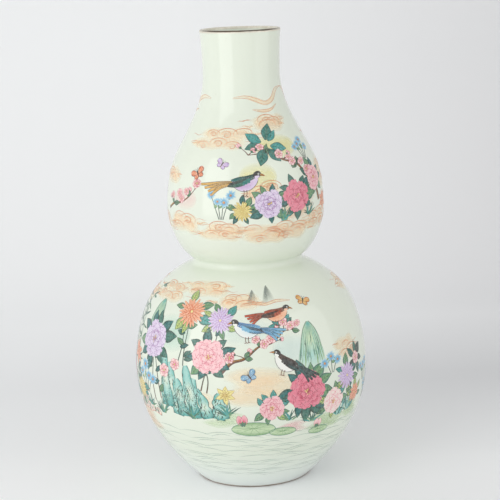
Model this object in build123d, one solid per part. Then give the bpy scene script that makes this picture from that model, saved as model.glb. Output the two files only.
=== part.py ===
from build123d import *

import os
from math import cos, radians, sin, sqrt

# Double gourd vase of glazed porcelain
#
# A vase of this size isn't thrown in one go. Five thrown sections, a base disc and a foot ring are
# trimmed leather-hard and luted rim to rim with slip. The slip fills each seam and is smeared into a
# low bead over it on the inside. The lip is gilded after the glaze firing.
#
# Every piece is turned, so each is drawn as a face in the half plane of radius and height, and then
# revolved. Millimetres, +Z up along the turning axis, origin at the centre of the foot.

# Outer form: the radius at each station of the outline, its rise above the station before, and the
# lean of the wall from upright, in degrees, outwards above 0 and inwards below it
foot_radius = 57.0
foot_lean = 49.5
lower_bulb_radius = 119.0
lower_bulb_rise = 118.7
waist_radius = 56.4
waist_rise = 111.9
waist_hollow_radius = 12.0
waist_lean_below = -72.0
waist_lean_above = 54.6
upper_bulb_radius = 80.0
upper_bulb_rise = 53.0
shoulder_radius = 65.5
shoulder_rise = 60.1
shoulder_lean = -30.2
neck_radius = 39.0
neck_rise = 73.3
lip_radius = 40.8
lip_rise = 43.0

# Wall, lip, foot and base
wall = 4.5
lip_flat = 0.5
foot_ring_width = 8.0
foot_ring_height = 8.0
foot_ring_rounding = 1.2
base_thickness = 6.0

# Luting
slip = 1.0
seam_bead_radius = 6.0
seam_bead_depth = 2.0
floor_bead_radius = 8.0
neck_seam_drop = 29.0

# Gilding on the lip
gilding = 0.3
gilding_depth = 2.6

# Heights and sizes that follow
lower_bulb_height = lower_bulb_rise
waist_height = lower_bulb_height + waist_rise
upper_bulb_height = waist_height + upper_bulb_rise
shoulder_height = upper_bulb_height + shoulder_rise
neck_height = shoulder_height + neck_rise
height = neck_height + lip_rise
neck_seam_height = neck_height - neck_seam_drop
reach = 2 * max(foot_radius, lower_bulb_radius, upper_bulb_radius, lip_radius)
foot_ring_bore = foot_radius - foot_ring_width
floor_height = foot_ring_height + slip
inner_floor_height = floor_height + base_thickness
lip_rounding = (wall - lip_flat) / 2
gilding_edge = height - gilding_depth


def heading(lean):
    """Unit vector along the rising outline where the wall has a lean."""
    return Vector(sin(radians(lean)), cos(radians(lean)))


upright = heading(0)


def outwards(tangent):
    """Unit vector out of the wall, square to the rising outline."""
    return Vector(tangent.Y, -tangent.X)


def waist_knot(lean):
    """Point and tangent of the hollow arc round the waist where the wall has a lean."""
    centre = Vector(waist_radius + waist_hollow_radius, waist_height)
    tangent = heading(lean)
    return centre - outwards(tangent) * waist_hollow_radius, tangent


def lip_knot():
    """Point and tangent at the lip, at the end of one arc that leaves the neck upright."""
    flare = Vector(lip_radius - neck_radius, lip_rise)
    tangent = flare * (2 * flare.Y / flare.dot(flare)) - upright
    return Vector(lip_radius, height), tangent


def joint_knot(start, end):
    """Point and tangent where two arcs meet that lead from one knot to the next."""
    (start_point, start_tangent), (end_point, end_tangent) = start, end
    chord = end_point - start_point
    along = chord.dot(start_tangent + end_tangent)
    spread = 2 * (1 - start_tangent.dot(end_tangent))
    arm = chord.dot(chord) / (along + sqrt(along**2 + spread * chord.dot(chord)))
    first_corner = start_point + start_tangent * arm
    second_corner = end_point - end_tangent * arm
    return (first_corner + second_corner) / 2, (second_corner - first_corner).normalized()


def outline_knots():
    """Points and tangents of the outer face from foot to lip, where one arc passes into the next."""
    foot = Vector(foot_radius, 0), heading(foot_lean)
    lower_bulb = Vector(lower_bulb_radius, lower_bulb_height), upright
    waist_below = waist_knot(waist_lean_below)
    waist_above = waist_knot(waist_lean_above)
    upper_bulb = Vector(upper_bulb_radius, upper_bulb_height), upright
    shoulder = Vector(shoulder_radius, shoulder_height), heading(shoulder_lean)
    neck = Vector(neck_radius, neck_height), upright
    return [
        foot,
        joint_knot(foot, lower_bulb),
        lower_bulb,
        joint_knot(lower_bulb, waist_below),
        waist_below,
        waist_above,
        joint_knot(waist_above, upper_bulb),
        upper_bulb,
        joint_knot(upper_bulb, shoulder),
        shoulder,
        joint_knot(shoulder, neck),
        neck,
        lip_knot(),
    ]


def within(depth):
    """What the outline holds, set in by a depth from the outer face and run on past foot and lip."""
    knots = [(point - outwards(tangent) * depth, tangent) for point, tangent in outline_knots()]
    arcs = [TangentArc(start, end, tangent=along) for (start, along), (end, _) in zip(knots, knots[1:])]
    (low, low_tangent), (high, high_tangent) = knots[0], knots[-1]
    bottom = low - low_tangent * 2 * wall
    top = high + high_tangent * 2 * wall
    rest = Polyline(high, top, (0, top.Y), (0, bottom.Y), bottom, low)
    return make_face([*arcs, *rest.edges()])


def between(low, high, inner_radius=0):
    """A face from the axis, or from an inner radius, to past the widest bulb between two heights."""
    return Pos(inner_radius, low) * Rectangle(reach, high - low, align=(Align.MIN, Align.MIN))


def rounded_wall(inset):
    """The wall from foot to lip, set in by an inset on both faces and the top, with a rounded lip."""
    top = height - inset
    face = (within(inset) - within(wall - inset)) & between(0, top)
    return fillet(face.vertices().group_by(Axis.Y)[-1], lip_rounding - inset)


form = within(0)
hollow = within(wall)
clay_wall = rounded_wall(0)
wall_under_gilding = rounded_wall(gilding)


def turned(face):
    """The solid that a face of the half plane sweeps round the axis."""
    return revolve(Plane.XZ * face, Axis.Z)


def hollow_radius(level):
    """Radius of the inner face at a height."""
    return (hollow & Line((0, level), (reach, level))).edges().sort_by(Axis.X)[-1].bounding_box().max.X


def thrown_section(low_seam, high_seam):
    """Wall between two seams, trimmed back for the slip."""
    return clay_wall & between(low_seam + slip / 2, high_seam - slip / 2)


def luted_seam(level):
    """Slip between two sections, with its bead over the joint inside."""
    layer = clay_wall & between(level - slip / 2, level + slip / 2)
    bead_centre = hollow_radius(level) + seam_bead_radius - seam_bead_depth
    bead = Pos(bead_centre, level) * Circle(seam_bead_radius) & hollow
    return layer + bead


def foot_ring():
    """Ring that the vase stands on: its outside carries on the bowl, and its edges are eased."""
    ring = form & between(0, foot_ring_height, foot_ring_bore)
    return fillet(ring.vertices().group_by(Axis.Y)[0], foot_ring_rounding)


def foot_slip():
    """Slip between the foot ring and what stands on it."""
    return form & between(foot_ring_height, floor_height, foot_ring_bore)


def base_disc():
    """Floor of the vase, bevelled to sit against the bowl."""
    return hollow & between(floor_height, inner_floor_height)


def floor_slip():
    """Slip worked into the corner between the floor and the bowl."""
    corner = Pos(hollow_radius(inner_floor_height), inner_floor_height)
    return corner * Circle(floor_bead_radius) & hollow & between(inner_floor_height, height)


def lower_bowl():
    """Lower half of the large bulb, which stands on the foot ring's slip."""
    return clay_wall & between(floor_height, lower_bulb_height - slip / 2)


def neck():
    """Neck and mouth, cut back at the lip for the gilding."""
    plain = clay_wall & between(neck_seam_height + slip / 2, gilding_edge)
    return plain + (wall_under_gilding & between(gilding_edge, height))


def rim_gilding():
    """Band of gold over the lip."""
    return (clay_wall - wall_under_gilding) & between(gilding_edge, height)


pieces = {
    "foot_ring": foot_ring(),
    "foot_slip": foot_slip(),
    "base_disc": base_disc(),
    "floor_slip": floor_slip(),
    "lower_bowl": lower_bowl(),
    "belly_slip": luted_seam(lower_bulb_height),
    "lower_shoulder": thrown_section(lower_bulb_height, waist_height),
    "waist_slip": luted_seam(waist_height),
    "upper_bowl": thrown_section(waist_height, upper_bulb_height),
    "upper_belly_slip": luted_seam(upper_bulb_height),
    "upper_shoulder": thrown_section(upper_bulb_height, neck_seam_height),
    "neck_slip": luted_seam(neck_seam_height),
    "neck": neck(),
    "rim_gilding": rim_gilding(),
}

os.makedirs("parts", exist_ok=True)
for name, face in pieces.items():
    export_step(turned(face), f"parts/{name}.step")
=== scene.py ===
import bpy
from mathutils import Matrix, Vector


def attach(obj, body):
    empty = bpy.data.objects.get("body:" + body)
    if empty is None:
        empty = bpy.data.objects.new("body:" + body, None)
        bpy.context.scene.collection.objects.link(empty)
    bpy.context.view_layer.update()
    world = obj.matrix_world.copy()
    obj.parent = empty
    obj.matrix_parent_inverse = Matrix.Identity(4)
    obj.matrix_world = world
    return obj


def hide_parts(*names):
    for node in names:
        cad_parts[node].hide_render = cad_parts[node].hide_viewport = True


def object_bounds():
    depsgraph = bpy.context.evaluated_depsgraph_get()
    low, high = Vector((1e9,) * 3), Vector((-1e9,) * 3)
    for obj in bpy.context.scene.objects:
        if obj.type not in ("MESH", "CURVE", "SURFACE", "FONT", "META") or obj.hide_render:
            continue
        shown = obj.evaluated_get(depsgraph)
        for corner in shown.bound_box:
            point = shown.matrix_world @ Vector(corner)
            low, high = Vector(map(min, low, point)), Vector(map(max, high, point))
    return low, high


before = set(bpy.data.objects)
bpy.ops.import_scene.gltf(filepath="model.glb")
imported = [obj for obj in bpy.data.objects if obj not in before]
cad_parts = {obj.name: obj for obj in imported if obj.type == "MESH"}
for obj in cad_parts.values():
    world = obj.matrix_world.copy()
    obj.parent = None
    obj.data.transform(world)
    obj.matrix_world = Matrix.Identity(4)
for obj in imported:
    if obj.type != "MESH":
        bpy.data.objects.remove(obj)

import copy
import math
import random

import bpy
import numpy as np
from mathutils import Matrix, Vector

CAD_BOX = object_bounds()
MM = 0.001

# Camera of the photograph, in metres and degrees
CAMERA_DISTANCE = 1.6325
CAMERA_HEIGHT = 0.5532
CAMERA_PITCH_DOWN = 11.055
CAMERA_YAW_RIGHT = 0.094
CAMERA_ROLL = -1.969
CAMERA_LENS_MM = 116.9
CAMERA_FILM_MM = 36.0

# Turning: the wall is set in a little, so that the enamel on it ends where the CAD wall does
FACETS_ROUND = 256
RING_STEP = 2.5 * MM
WALL_STEP = 1 * MM
CORNER_DEGREES = 32.0
WHEEL_RADIUS = 50 * MM
ENAMEL_ROOM = 0.25 * MM
PLAIN_EDGE = 8 * MM

# What counts as the same point, the same height, on the wall, facing outwards and straight
TINY = 1e-6
SAME_HEIGHT = 0.02 * MM
ON_WALL = 0.1 * MM
FACING_OUTWARDS = 0.7
STRAIGHT_IF_LONGER = 3

# The crease at the waist, tighter than the CAD hollow: its middle, its rounding, the leans of the walls that
# meet there in degrees from upright, and how far below and above it the outline joins the CAD wall again
CREASE_RADIUS = 56.2 * MM
CREASE_HEIGHT = 229.0 * MM
CREASE_ROUNDING_BELOW = 5 * MM
CREASE_ROUNDING_ABOVE = 3 * MM
CREASE_LEAN_BELOW = 69.0
CREASE_LEAN_ABOVE = 56.0
CREASE_REACH_BELOW = 23 * MM
CREASE_REACH_ABOVE = 32 * MM
CREASE_FINE = 13 * MM
CREASE_RINGS = 5
CREASE_POINTS = 19
CREASE_JOIN_POINTS = 28

# Brush strokes: height of the first layer, of each layer above it, and of the edges sunk in the glaze
FIRST_LAYER = 0.025 * MM
LAYER = 0.006 * MM
SUNK_EDGE = -0.04 * MM
THINNEST_STROKE_MM = 0.06
FINE_STROKE_MM = 0.6
SMOOTH_STEPS = 6
LONGEST_STEP = 2.2 * MM

WALL_NODES = [
    "foot_ring", "foot_slip", "lower_bowl", "belly_slip", "lower_shoulder", "waist_slip",
    "upper_bowl", "upper_belly_slip", "upper_shoulder", "neck_slip", "neck",
]


def hex_colour(code):
    """Linear red, green, blue and alpha of a colour written as six hex digits."""
    parts = [int(code[i:i + 2], 16) / 255 for i in (0, 2, 4)]
    return tuple(c / 12.92 if c <= 0.04045 else ((c + 0.055) / 1.055) ** 2.4 for c in parts) + (1.0,)


# Outlines read from the frame

def section_loop(node):
    """Corners of a node's section in the half plane y = 0, as rows of radius and height, anticlockwise."""
    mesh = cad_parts[node].data
    links = {}
    for edge in mesh.edges:
        ends = [mesh.vertices[i].co for i in edge.vertices]
        if any(abs(p.y) > TINY or p.x < -TINY for p in ends):
            continue
        a, b = [(round(p.x, 7), round(p.z, 7)) for p in ends]
        if a != b:
            links.setdefault(a, set()).add(b)
            links.setdefault(b, set()).add(a)
    here = min(links, key=lambda point: (len(links[point]), point))
    loop = [here]
    while onward := [point for point in links[here] if point not in loop]:
        here = onward[0]
        loop.append(here)
    if loop[0] not in links[here]:
        off_axis = [point for point in loop if point[0] > TINY]
        loop = [(0.0, loop[0][1])] + off_axis + [(0.0, loop[-1][1])]
    loop = np.array(loop)
    following = np.roll(loop, -1, 0)
    if np.sum(loop[:, 0] * following[:, 1] - following[:, 0] * loop[:, 1]) < 0:
        loop = loop[::-1]
    return loop


def unit(rows):
    """The same directions, one long."""
    return rows / np.maximum(np.linalg.norm(rows, axis=-1, keepdims=True), 1e-12)


def bent(start, start_way, end, end_way, share):
    """Points at shares of a smooth bend from one point to another, along a direction at each end."""
    t = np.atleast_1d(share)[:, None]
    reach = np.linalg.norm(end - start)
    return ((2 * t**3 - 3 * t**2 + 1) * start + (t**3 - 2 * t**2 + t) * reach * start_way
            + (3 * t**2 - 2 * t**3) * end + (t**3 - t**2) * reach * end_way)


def eased(points, closed, step):
    """The same outline with its arcs filled in between their points, and its corners and straights kept."""
    count = len(points)
    spans = np.roll(points, -1, 0) - points
    lengths = np.linalg.norm(spans, axis=1)
    straight = lengths > STRAIGHT_IF_LONGER * np.maximum(np.roll(lengths, 1), np.roll(lengths, -1))
    out = []
    for i in range(count if closed else count - 1):
        j = (i + 1) % count
        ends = []
        for at, before, after in ((i, (i - 1) % count, i), (j, i, j)):
            first, second = unit(spans[before]), unit(spans[after])
            open_end = not closed and at in (0, count - 1)
            if open_end or math.degrees(math.acos(np.clip(first @ second, -1, 1))) > CORNER_DEGREES:
                ends.append(None)
            elif straight[before] or straight[after]:
                ends.append(first if straight[before] else second)
            else:
                ends.append(unit(first * lengths[after] + second * lengths[before]))
        chord = unit(spans[i])
        start, end = ends
        if start is None and end is None:
            start = end = chord
        elif start is None:
            start = 2 * (end @ chord) * chord - end
        elif end is None:
            end = 2 * (start @ chord) * chord - start
        steps = max(1, math.ceil(lengths[i] / step))
        out.extend(bent(points[i], start, points[j], end, np.arange(steps) / steps))
    if not closed:
        out.append(points[-1])
    return np.array(out)


def outer_wall_line():
    """Radius and height along the outside of the vase, from the foot's edge to the gilding."""
    rows = []
    for node in WALL_NODES:
        loop = section_loop(node)
        rising = np.roll(loop, -1, 0)[:, 1] - loop[:, 1] > TINY
        i = int(np.argmax(np.where(rising | np.roll(rising, 1), loop[:, 0], 0)))
        while rising[i - 1]:
            i -= 1
        rows.append(loop[i])
        while rising[i]:
            i = (i + 1) % len(loop)
            rows.append(loop[i])
    rows = sorted(map(tuple, rows), key=lambda row: row[1])
    kept = rows[:1]
    for row in rows[1:]:
        if row[1] - kept[-1][1] > SAME_HEIGHT:
            kept.append(row)
    return eased(np.array(kept), False, WALL_STEP)


def creased(line):
    """The outer line with the tight crease between the two bulbs in place of the CAD hollow."""
    leans = np.radians(np.linspace(-CREASE_LEAN_BELOW, CREASE_LEAN_ABOVE, CREASE_POINTS))
    ways = np.column_stack([np.sin(leans), np.cos(leans)])
    rounding = np.where(leans < 0, CREASE_ROUNDING_BELOW, CREASE_ROUNDING_ABOVE)
    crease = np.column_stack([CREASE_RADIUS + rounding * (1 - ways[:, 1]),
                              CREASE_HEIGHT + rounding * ways[:, 0]])
    below = line[line[:, 1] < CREASE_HEIGHT - CREASE_REACH_BELOW]
    above = line[line[:, 1] > CREASE_HEIGHT + CREASE_REACH_ABOVE]
    shares = np.linspace(0, 1, CREASE_JOIN_POINTS + 2)[1:-1]
    rise = bent(below[-1], unit(below[-1] - below[-2]), crease[0], ways[0], shares)
    swell = bent(crease[-1], ways[-1], above[0], unit(above[1] - above[0]), shares)
    return np.vstack([below, rise, crease, swell, above])


def outwards(line):
    """Which way the wall faces at each point of its line."""
    return unit(np.gradient(line, axis=0)) @ np.array([[0, -1], [1, 0]])


CAD_LINE = outer_wall_line()
CLAY_LINE = creased(CAD_LINE)
CLAY_RUN = np.concatenate([[0], np.cumsum(np.linalg.norm(np.diff(CLAY_LINE, axis=0), axis=1))])
SET_IN = ENAMEL_ROOM * np.clip(np.minimum(CLAY_RUN, CLAY_RUN[-1] - CLAY_RUN) / PLAIN_EDGE, 0, 1)
GLAZE_LINE = CLAY_LINE - outwards(CLAY_LINE) * SET_IN[:, None]
GLAZE_OUTWARDS = outwards(GLAZE_LINE)
WAIST_RUN = np.interp(CREASE_HEIGHT, CLAY_LINE[:, 1], CLAY_RUN)


def glaze_radius(heights):
    """Radius of the glazed wall at heights."""
    return np.interp(heights, GLAZE_LINE[:, 1], GLAZE_LINE[:, 0])


# Objects and node trees

def placed(name, data):
    """A new object in the scene."""
    obj = bpy.data.objects.new(name, data)
    bpy.context.scene.collection.objects.link(obj)
    return obj


class Nodes:
    """A node tree, and short ways to add nodes to it."""

    def __init__(self, tree):
        self.tree = tree

    def feed(self, made, links):
        """Joins or fills a node's inputs."""
        for key, value in links.items():
            if isinstance(value, bpy.types.Node):
                value = value.outputs[0]
            if isinstance(value, bpy.types.NodeSocket):
                self.tree.links.new(value, made.inputs[key])
            else:
                made.inputs[key].default_value = value

    def add(self, kind, links=None, **settings):
        """A node with its properties set and its inputs joined or filled."""
        made = self.tree.nodes.new(kind)
        for key, value in settings.items():
            setattr(made, key, value)
        self.feed(made, links or {})
        return made

    def geo(self, kind, links=None, **settings):
        """A node for geometry."""
        return self.add("GeometryNode" + kind, links, **settings)

    def shade(self, kind, links=None, **settings):
        """A node for values, colours and shaders."""
        return self.add("ShaderNode" + kind, links, **settings)

    def maths(self, operation, *values):
        """A sum, product or other simple working of one to three values."""
        return self.shade("Math", dict(enumerate(values)), operation=operation)

    def xyz(self, x=0.0, y=0.0, z=0.0):
        """A vector put together from its parts."""
        return self.shade("CombineXYZ", {"X": x, "Y": y, "Z": z})

    def parts(self, vector):
        """A vector's parts."""
        return self.shade("SeparateXYZ", {0: vector}).outputs

    def between(self, share, first, second):
        """A value between two others."""
        return self.shade("Mix", {0: share, 2: first, 3: second}, data_type="FLOAT")

    def mixed(self, share, first, second, how="MIX"):
        """Two colours mixed by a share."""
        links = {0: share, 6: first, 7: second}
        return self.shade("Mix", links, data_type="RGBA", blend_type=how).outputs[2]

    def spread(self, value, low, high, to_low, to_high):
        """A value carried from one range to another, and held inside it."""
        return self.shade("MapRange", {0: value, 1: low, 2: high, 3: to_low, 4: to_high})

    def coordinates(self):
        """The piece's own coordinates."""
        return self.shade("TexCoord").outputs["Object"]

    def noise(self, scale, detail=3.0, roughness=0.5):
        """Soft noise on the piece's own coordinates, in cycles per metre."""
        return self.shade("TexNoise", {"Vector": self.coordinates(), "Scale": scale, "Detail": detail,
                                       "Roughness": roughness})

    def patches(self, scale, detail, low, high, to_low=0.0, to_high=1.0, roughness=0.5):
        """Noise whose middle range is carried to another."""
        return self.spread(self.noise(scale, detail, roughness), low, high, to_low, to_high)


def new_tree(name, inputs):
    """A geometry node tree with a geometry input and output and named inputs for its sizes."""
    tree = bpy.data.node_groups.new(name, "GeometryNodeTree")
    for label, kind in {"Geometry": "Geometry", **inputs}.items():
        tree.interface.new_socket(label, in_out="INPUT", socket_type="NodeSocket" + kind)
    tree.interface.new_socket("Geometry", in_out="OUTPUT", socket_type="NodeSocketGeometry")
    return Nodes(tree)


def end_tree(nodes, geometry, finish):
    """Ends a geometry node tree in real meshes with their finish."""
    real = nodes.geo("RealizeInstances", {"Geometry": geometry})
    done = nodes.geo("SetMaterial", {"Geometry": real, "Material": finish})
    nodes.add("NodeGroupOutput", {"Geometry": done})


def run_tree(obj, tree, values, name):
    """Runs a tree on an object, and returns a new object with the plain mesh that comes out."""
    modifier = obj.modifiers.new(tree.name, "NODES")
    modifier.node_group = tree
    for item in tree.interface.items_tree:
        if item.in_out == "INPUT" and item.name in values:
            modifier[item.identifier] = values[item.name]
    graph = bpy.context.evaluated_depsgraph_get()
    mesh = bpy.data.meshes.new_from_object(obj.evaluated_get(graph), depsgraph=graph)
    obj.modifiers.clear()
    bpy.data.objects.remove(obj)
    mesh.name = name
    return placed(name, mesh)


def line_object(name, points, closed=False):
    """An object of plain edges through rows of points."""
    mesh = bpy.data.meshes.new(name)
    count = len(points)
    edges = [(i, i + 1) for i in range(count - 1)] + ([(count - 1, 0)] if closed else [])
    mesh.from_pydata([tuple(p) for p in points], edges, [])
    return placed(name, mesh)


# Turned pieces

def turning_tree():
    """Sweeps a section, drawn with its radius along x and its depth along y, round the wheel's axis."""
    nodes = new_tree("turn_on_the_wheel", {
        "Wheel radius": "Float", "Facets round": "Int", "Corner angle": "Float", "Finish": "Material",
    })
    given = nodes.add("NodeGroupInput").outputs
    section = nodes.geo("MeshToCurve", {"Mesh": given["Geometry"]})
    shift = nodes.xyz(nodes.maths("MULTIPLY", given["Wheel radius"], -1.0))
    section = nodes.geo("SetPosition", {"Geometry": section, "Offset": shift})
    wheel = nodes.geo("CurvePrimitiveCircle",
                      {"Resolution": given["Facets round"], "Radius": given["Wheel radius"]})
    wheel = nodes.geo("SetCurveNormal", {"Curve": wheel}, mode="Z_UP")
    clay = nodes.geo("CurveToMesh", {"Curve": wheel, "Profile Curve": section})
    clay = nodes.geo("FlipFaces", {"Mesh": clay})
    clay = nodes.geo("MergeByDistance", {"Geometry": clay, "Distance": TINY})
    smooth = nodes.geo("SetShadeSmooth", {"Geometry": clay, "Shade Smooth": True})
    bend = nodes.geo("InputMeshEdgeAngle").outputs["Unsigned Angle"]
    sharp = nodes.add("FunctionNodeCompare", {0: bend, 1: given["Corner angle"]}, operation="GREATER_THAN")
    edges = nodes.geo("SetShadeSmooth", {"Geometry": smooth, "Selection": sharp, "Shade Smooth": False},
                      domain="EDGE")
    end_tree(nodes, edges, given["Finish"])
    return nodes.tree


def fitted_to_glaze(points):
    """A section with its outer wall moved to the glaze line, and with more points at the crease."""
    on_wall = np.abs(np.interp(points[:, 1], CAD_LINE[:, 1], CAD_LINE[:, 0]) - points[:, 0]) < ON_WALL
    at_crease = on_wall & (np.abs(points[:, 1] - CREASE_HEIGHT) < CREASE_FINE)
    out = []
    for i, here in enumerate(points):
        after = (i + 1) % len(points)
        close = at_crease[i] and at_crease[after]
        for share in np.arange(CREASE_RINGS) / CREASE_RINGS if close else (0,):
            radius, height = here + share * (points[after] - here)
            out.append((glaze_radius(height) if on_wall[i] else radius, height))
    return np.array(out)


def mesh_rows(items, key, width, kind=float):
    """One property of a mesh's vertices, corners or faces, as rows."""
    rows = np.zeros(len(items) * width, kind)
    items.foreach_get(key, rows)
    return rows.reshape(-1, width) if width > 1 else rows


def shade_across_seams(mesh):
    """Gives the outer wall the outline's own normals, so that no seam shows between two sections."""
    corners = mesh_rows(mesh.loops, "vertex_index", 1, int)
    places = mesh_rows(mesh.vertices, "co", 3)[corners]
    sizes = mesh_rows(mesh.polygons, "loop_total", 1, int)
    facing = np.repeat(mesh_rows(mesh.polygons, "normal", 3), sizes, axis=0)
    heights = places[:, 2]
    radius = np.hypot(places[:, 0], places[:, 1])
    out = places[:, :2] / np.maximum(radius, 1e-9)[:, None]
    aside, up = [np.interp(heights, GLAZE_LINE[:, 1], GLAZE_OUTWARDS[:, k]) for k in (0, 1)]
    wall_normals = unit(np.column_stack([out * aside[:, None], up]))
    on_wall = np.abs(glaze_radius(heights) - radius) < ON_WALL
    on_wall &= np.sum(facing * wall_normals, axis=1) > FACING_OUTWARDS
    mesh.normals_split_custom_set(np.where(on_wall[:, None], wall_normals, 0))


def turn_piece(node_name, finish, tree):
    """The smooth piece that stands for a turned CAD node."""
    loop = section_loop(node_name)
    closed = loop[:, 0].min() > ON_WALL
    points = fitted_to_glaze(eased(loop, closed, RING_STEP))
    name = node_name + "_turned"
    section = line_object(name + "_section", [(r, -z, 0) for r, z in points], closed)
    values = {"Wheel radius": WHEEL_RADIUS, "Facets round": FACETS_ROUND,
              "Corner angle": math.radians(CORNER_DEGREES), "Finish": finish}
    piece = run_tree(section, tree, values, name)
    shade_across_seams(piece.data)
    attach(piece, "root")
    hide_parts(node_name)


# Brush strokes

PALETTE = {name: np.array(hex_colour(code)[:3]) for name, code in {
    "crimson": "A92A4C", "ruby": "CC4164", "rose": "EC8A9E", "pale_rose": "F9CCCF", "blush": "FBE7E1",
    "violet": "87599C", "lilac": "BA86C0", "lavender": "C9BAE3", "pale_lilac": "E6D8EE",
    "cobalt": "4C79AE", "sky": "84C0DE", "pale_sky": "CBE5EE",
    "peacock": "23807F", "turquoise": "4FB0AA", "pale_turquoise": "ABDAD1",
    "pine": "27463A", "jade": "3F8475", "leaf": "7CA973", "lime": "CBD77F", "pale_green": "CFE3BC",
    "lemon": "F1E69C", "ochre": "BE953F", "gold": "D8A94A",
    "iron_red": "C9532D", "orange": "EE8B58", "peach": "F9CDAC",
    "cloud_line": "D4855A", "cloud_wash": "FFE2BE",
    "brown": "7A4630", "umber": "4E3026", "black": "2B2628", "smoke": "87918B", "wave_line": "9DBDB0",
    "white": "F7F7F1", "mist": "E3EBDA", "sage": "9CC2A6", "moss": "74907A",
}.items()}

# Which sheet of strokes lies over which, in layers
SHEET_LEVEL = {"washes": 0, "waves": 1, "clouds": 2, "rocks": 2, "leaves": 7, "flowers": 13, "birds": 22}
# Points across a stroke and steps between its points, where a sheet needs its own
SHEET_MESH = {"washes": (13, 2), "waves": (5, 2), "rocks": (9, 2), "flowers": (5, 1)}
FINE_MESH = (2, 1)
BROAD_MESH = (5, 2)
# Sheets thin enough for the glaze to show through, and sheets with so many strokes that each bulb has its own
SEE_THROUGH = ("washes", "waves")
PARTED_AT_WAIST = ("flowers",)
SHEETS = {}


def along(values, t):
    """A number, or a list of numbers spread evenly along a stroke, at each t of the stroke."""
    values = np.atleast_1d(np.asarray(values, float))
    return np.interp(t, np.linspace(0, 1, len(values)), values)


def tint(names, t):
    """A colour, or several colours spread evenly along a stroke, at each t of the stroke."""
    rows = np.array([PALETTE[name] for name in ([names] if isinstance(names, str) else names)])
    return np.column_stack([along(rows[:, k], t) for k in range(3)])


class Spot:
    """A place to draw at: a point of the wall, and a plane there, turned, sized, mirrored or set off."""

    def __init__(self, azimuth, station, turn=0.0, size=1.0, hand=1):
        self.azimuth, self.station, self.level = azimuth, station, 0.0
        self.offset, self.plane = np.zeros(2), np.eye(2)
        self.plane = self.inner(turn=turn, size=size, hand=hand).plane

    def inner(self, x=0.0, y=0.0, turn=0.0, size=1.0, hand=1, squash=1.0, level=0.0):
        """A spot inside this one, set off by x and y millimetres."""
        made = copy.copy(self)
        made.level += level
        cosine, sine = math.cos(math.radians(turn)), math.sin(math.radians(turn))
        turned = self.plane @ np.array([[cosine, -sine], [sine, cosine]])
        made.plane = turned @ np.diag([hand * size, squash * size])
        made.offset = self.offset + self.plane @ (x, y)
        return made

    def place(self, points):
        """Millimetres across and up the wall from the spot's point, for points in its plane."""
        return self.offset + np.asarray(points, float) @ self.plane.T

    def scale(self):
        """How much larger than in its plane a shape comes out."""
        return math.sqrt(abs(np.linalg.det(self.plane)))


def lay(sheet, spot, path, width, heart, edge=None, level=0.0, cover=1.0):
    """Lays a stroke: its path and half width in millimetres, its colours and its cover from start to end."""
    t = np.linspace(0, 1, len(path))
    half_width = np.maximum(along(width, t) * spot.scale(), THINNEST_STROKE_MM)
    fine = half_width.max() < FINE_STROKE_MM and sheet != "washes"
    bulb = "lower_" if spot.station * MM < WAIST_RUN else "upper_"
    name = (bulb if sheet in PARTED_AT_WAIST else "") + sheet + ("_lines" if fine else "")
    SHEETS.setdefault(name, []).append({
        "azimuth": math.radians(spot.azimuth), "station": spot.station * MM, "path": spot.place(path) * MM,
        "half_width": half_width * MM, "heart": tint(heart, t), "edge": tint(edge or heart, t), "along": t,
        "lift": FIRST_LAYER + LAYER * (SHEET_LEVEL[sheet] + spot.level + level), "cover": along(cover, t),
    })


# What a stroke's points carry into the painting tree, and what that tree adds for its own use
STROKE_VALUES = ("azimuth", "station", "lift", "half_width", "cover", "along", "number")
STROKE_COLOURS = ("heart", "edge")
FILM_VALUES = ("across", "sunk", "wall_normal")


def stroke_object(name, strokes):
    """An object of plain edges along the strokes, whose points carry what the painting tree reads."""
    counts = [len(s["path"]) for s in strokes]
    points = np.concatenate([np.column_stack([s["path"], np.zeros(n)]) for s, n in zip(strokes, counts)])
    ends = set(np.cumsum(counts) - 1)
    mesh = bpy.data.meshes.new(name)
    mesh.from_pydata(points, [(i, i + 1) for i in range(len(points) - 1) if i not in ends], [])
    for key in STROKE_VALUES:
        rows = [np.full(n, i) if key == "number" else np.broadcast_to(s[key], n)
                for i, (s, n) in enumerate(zip(strokes, counts))]
        mesh.attributes.new(key, "FLOAT", "POINT").data.foreach_set("value", np.concatenate(rows))
    for key in STROKE_COLOURS:
        rows = np.concatenate([s[key] for s in strokes])
        rows = np.column_stack([rows, np.ones(len(rows))])
        mesh.attributes.new(key, "FLOAT_COLOR", "POINT").data.foreach_set("color", rows.ravel())
    return placed(name, mesh)


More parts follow.
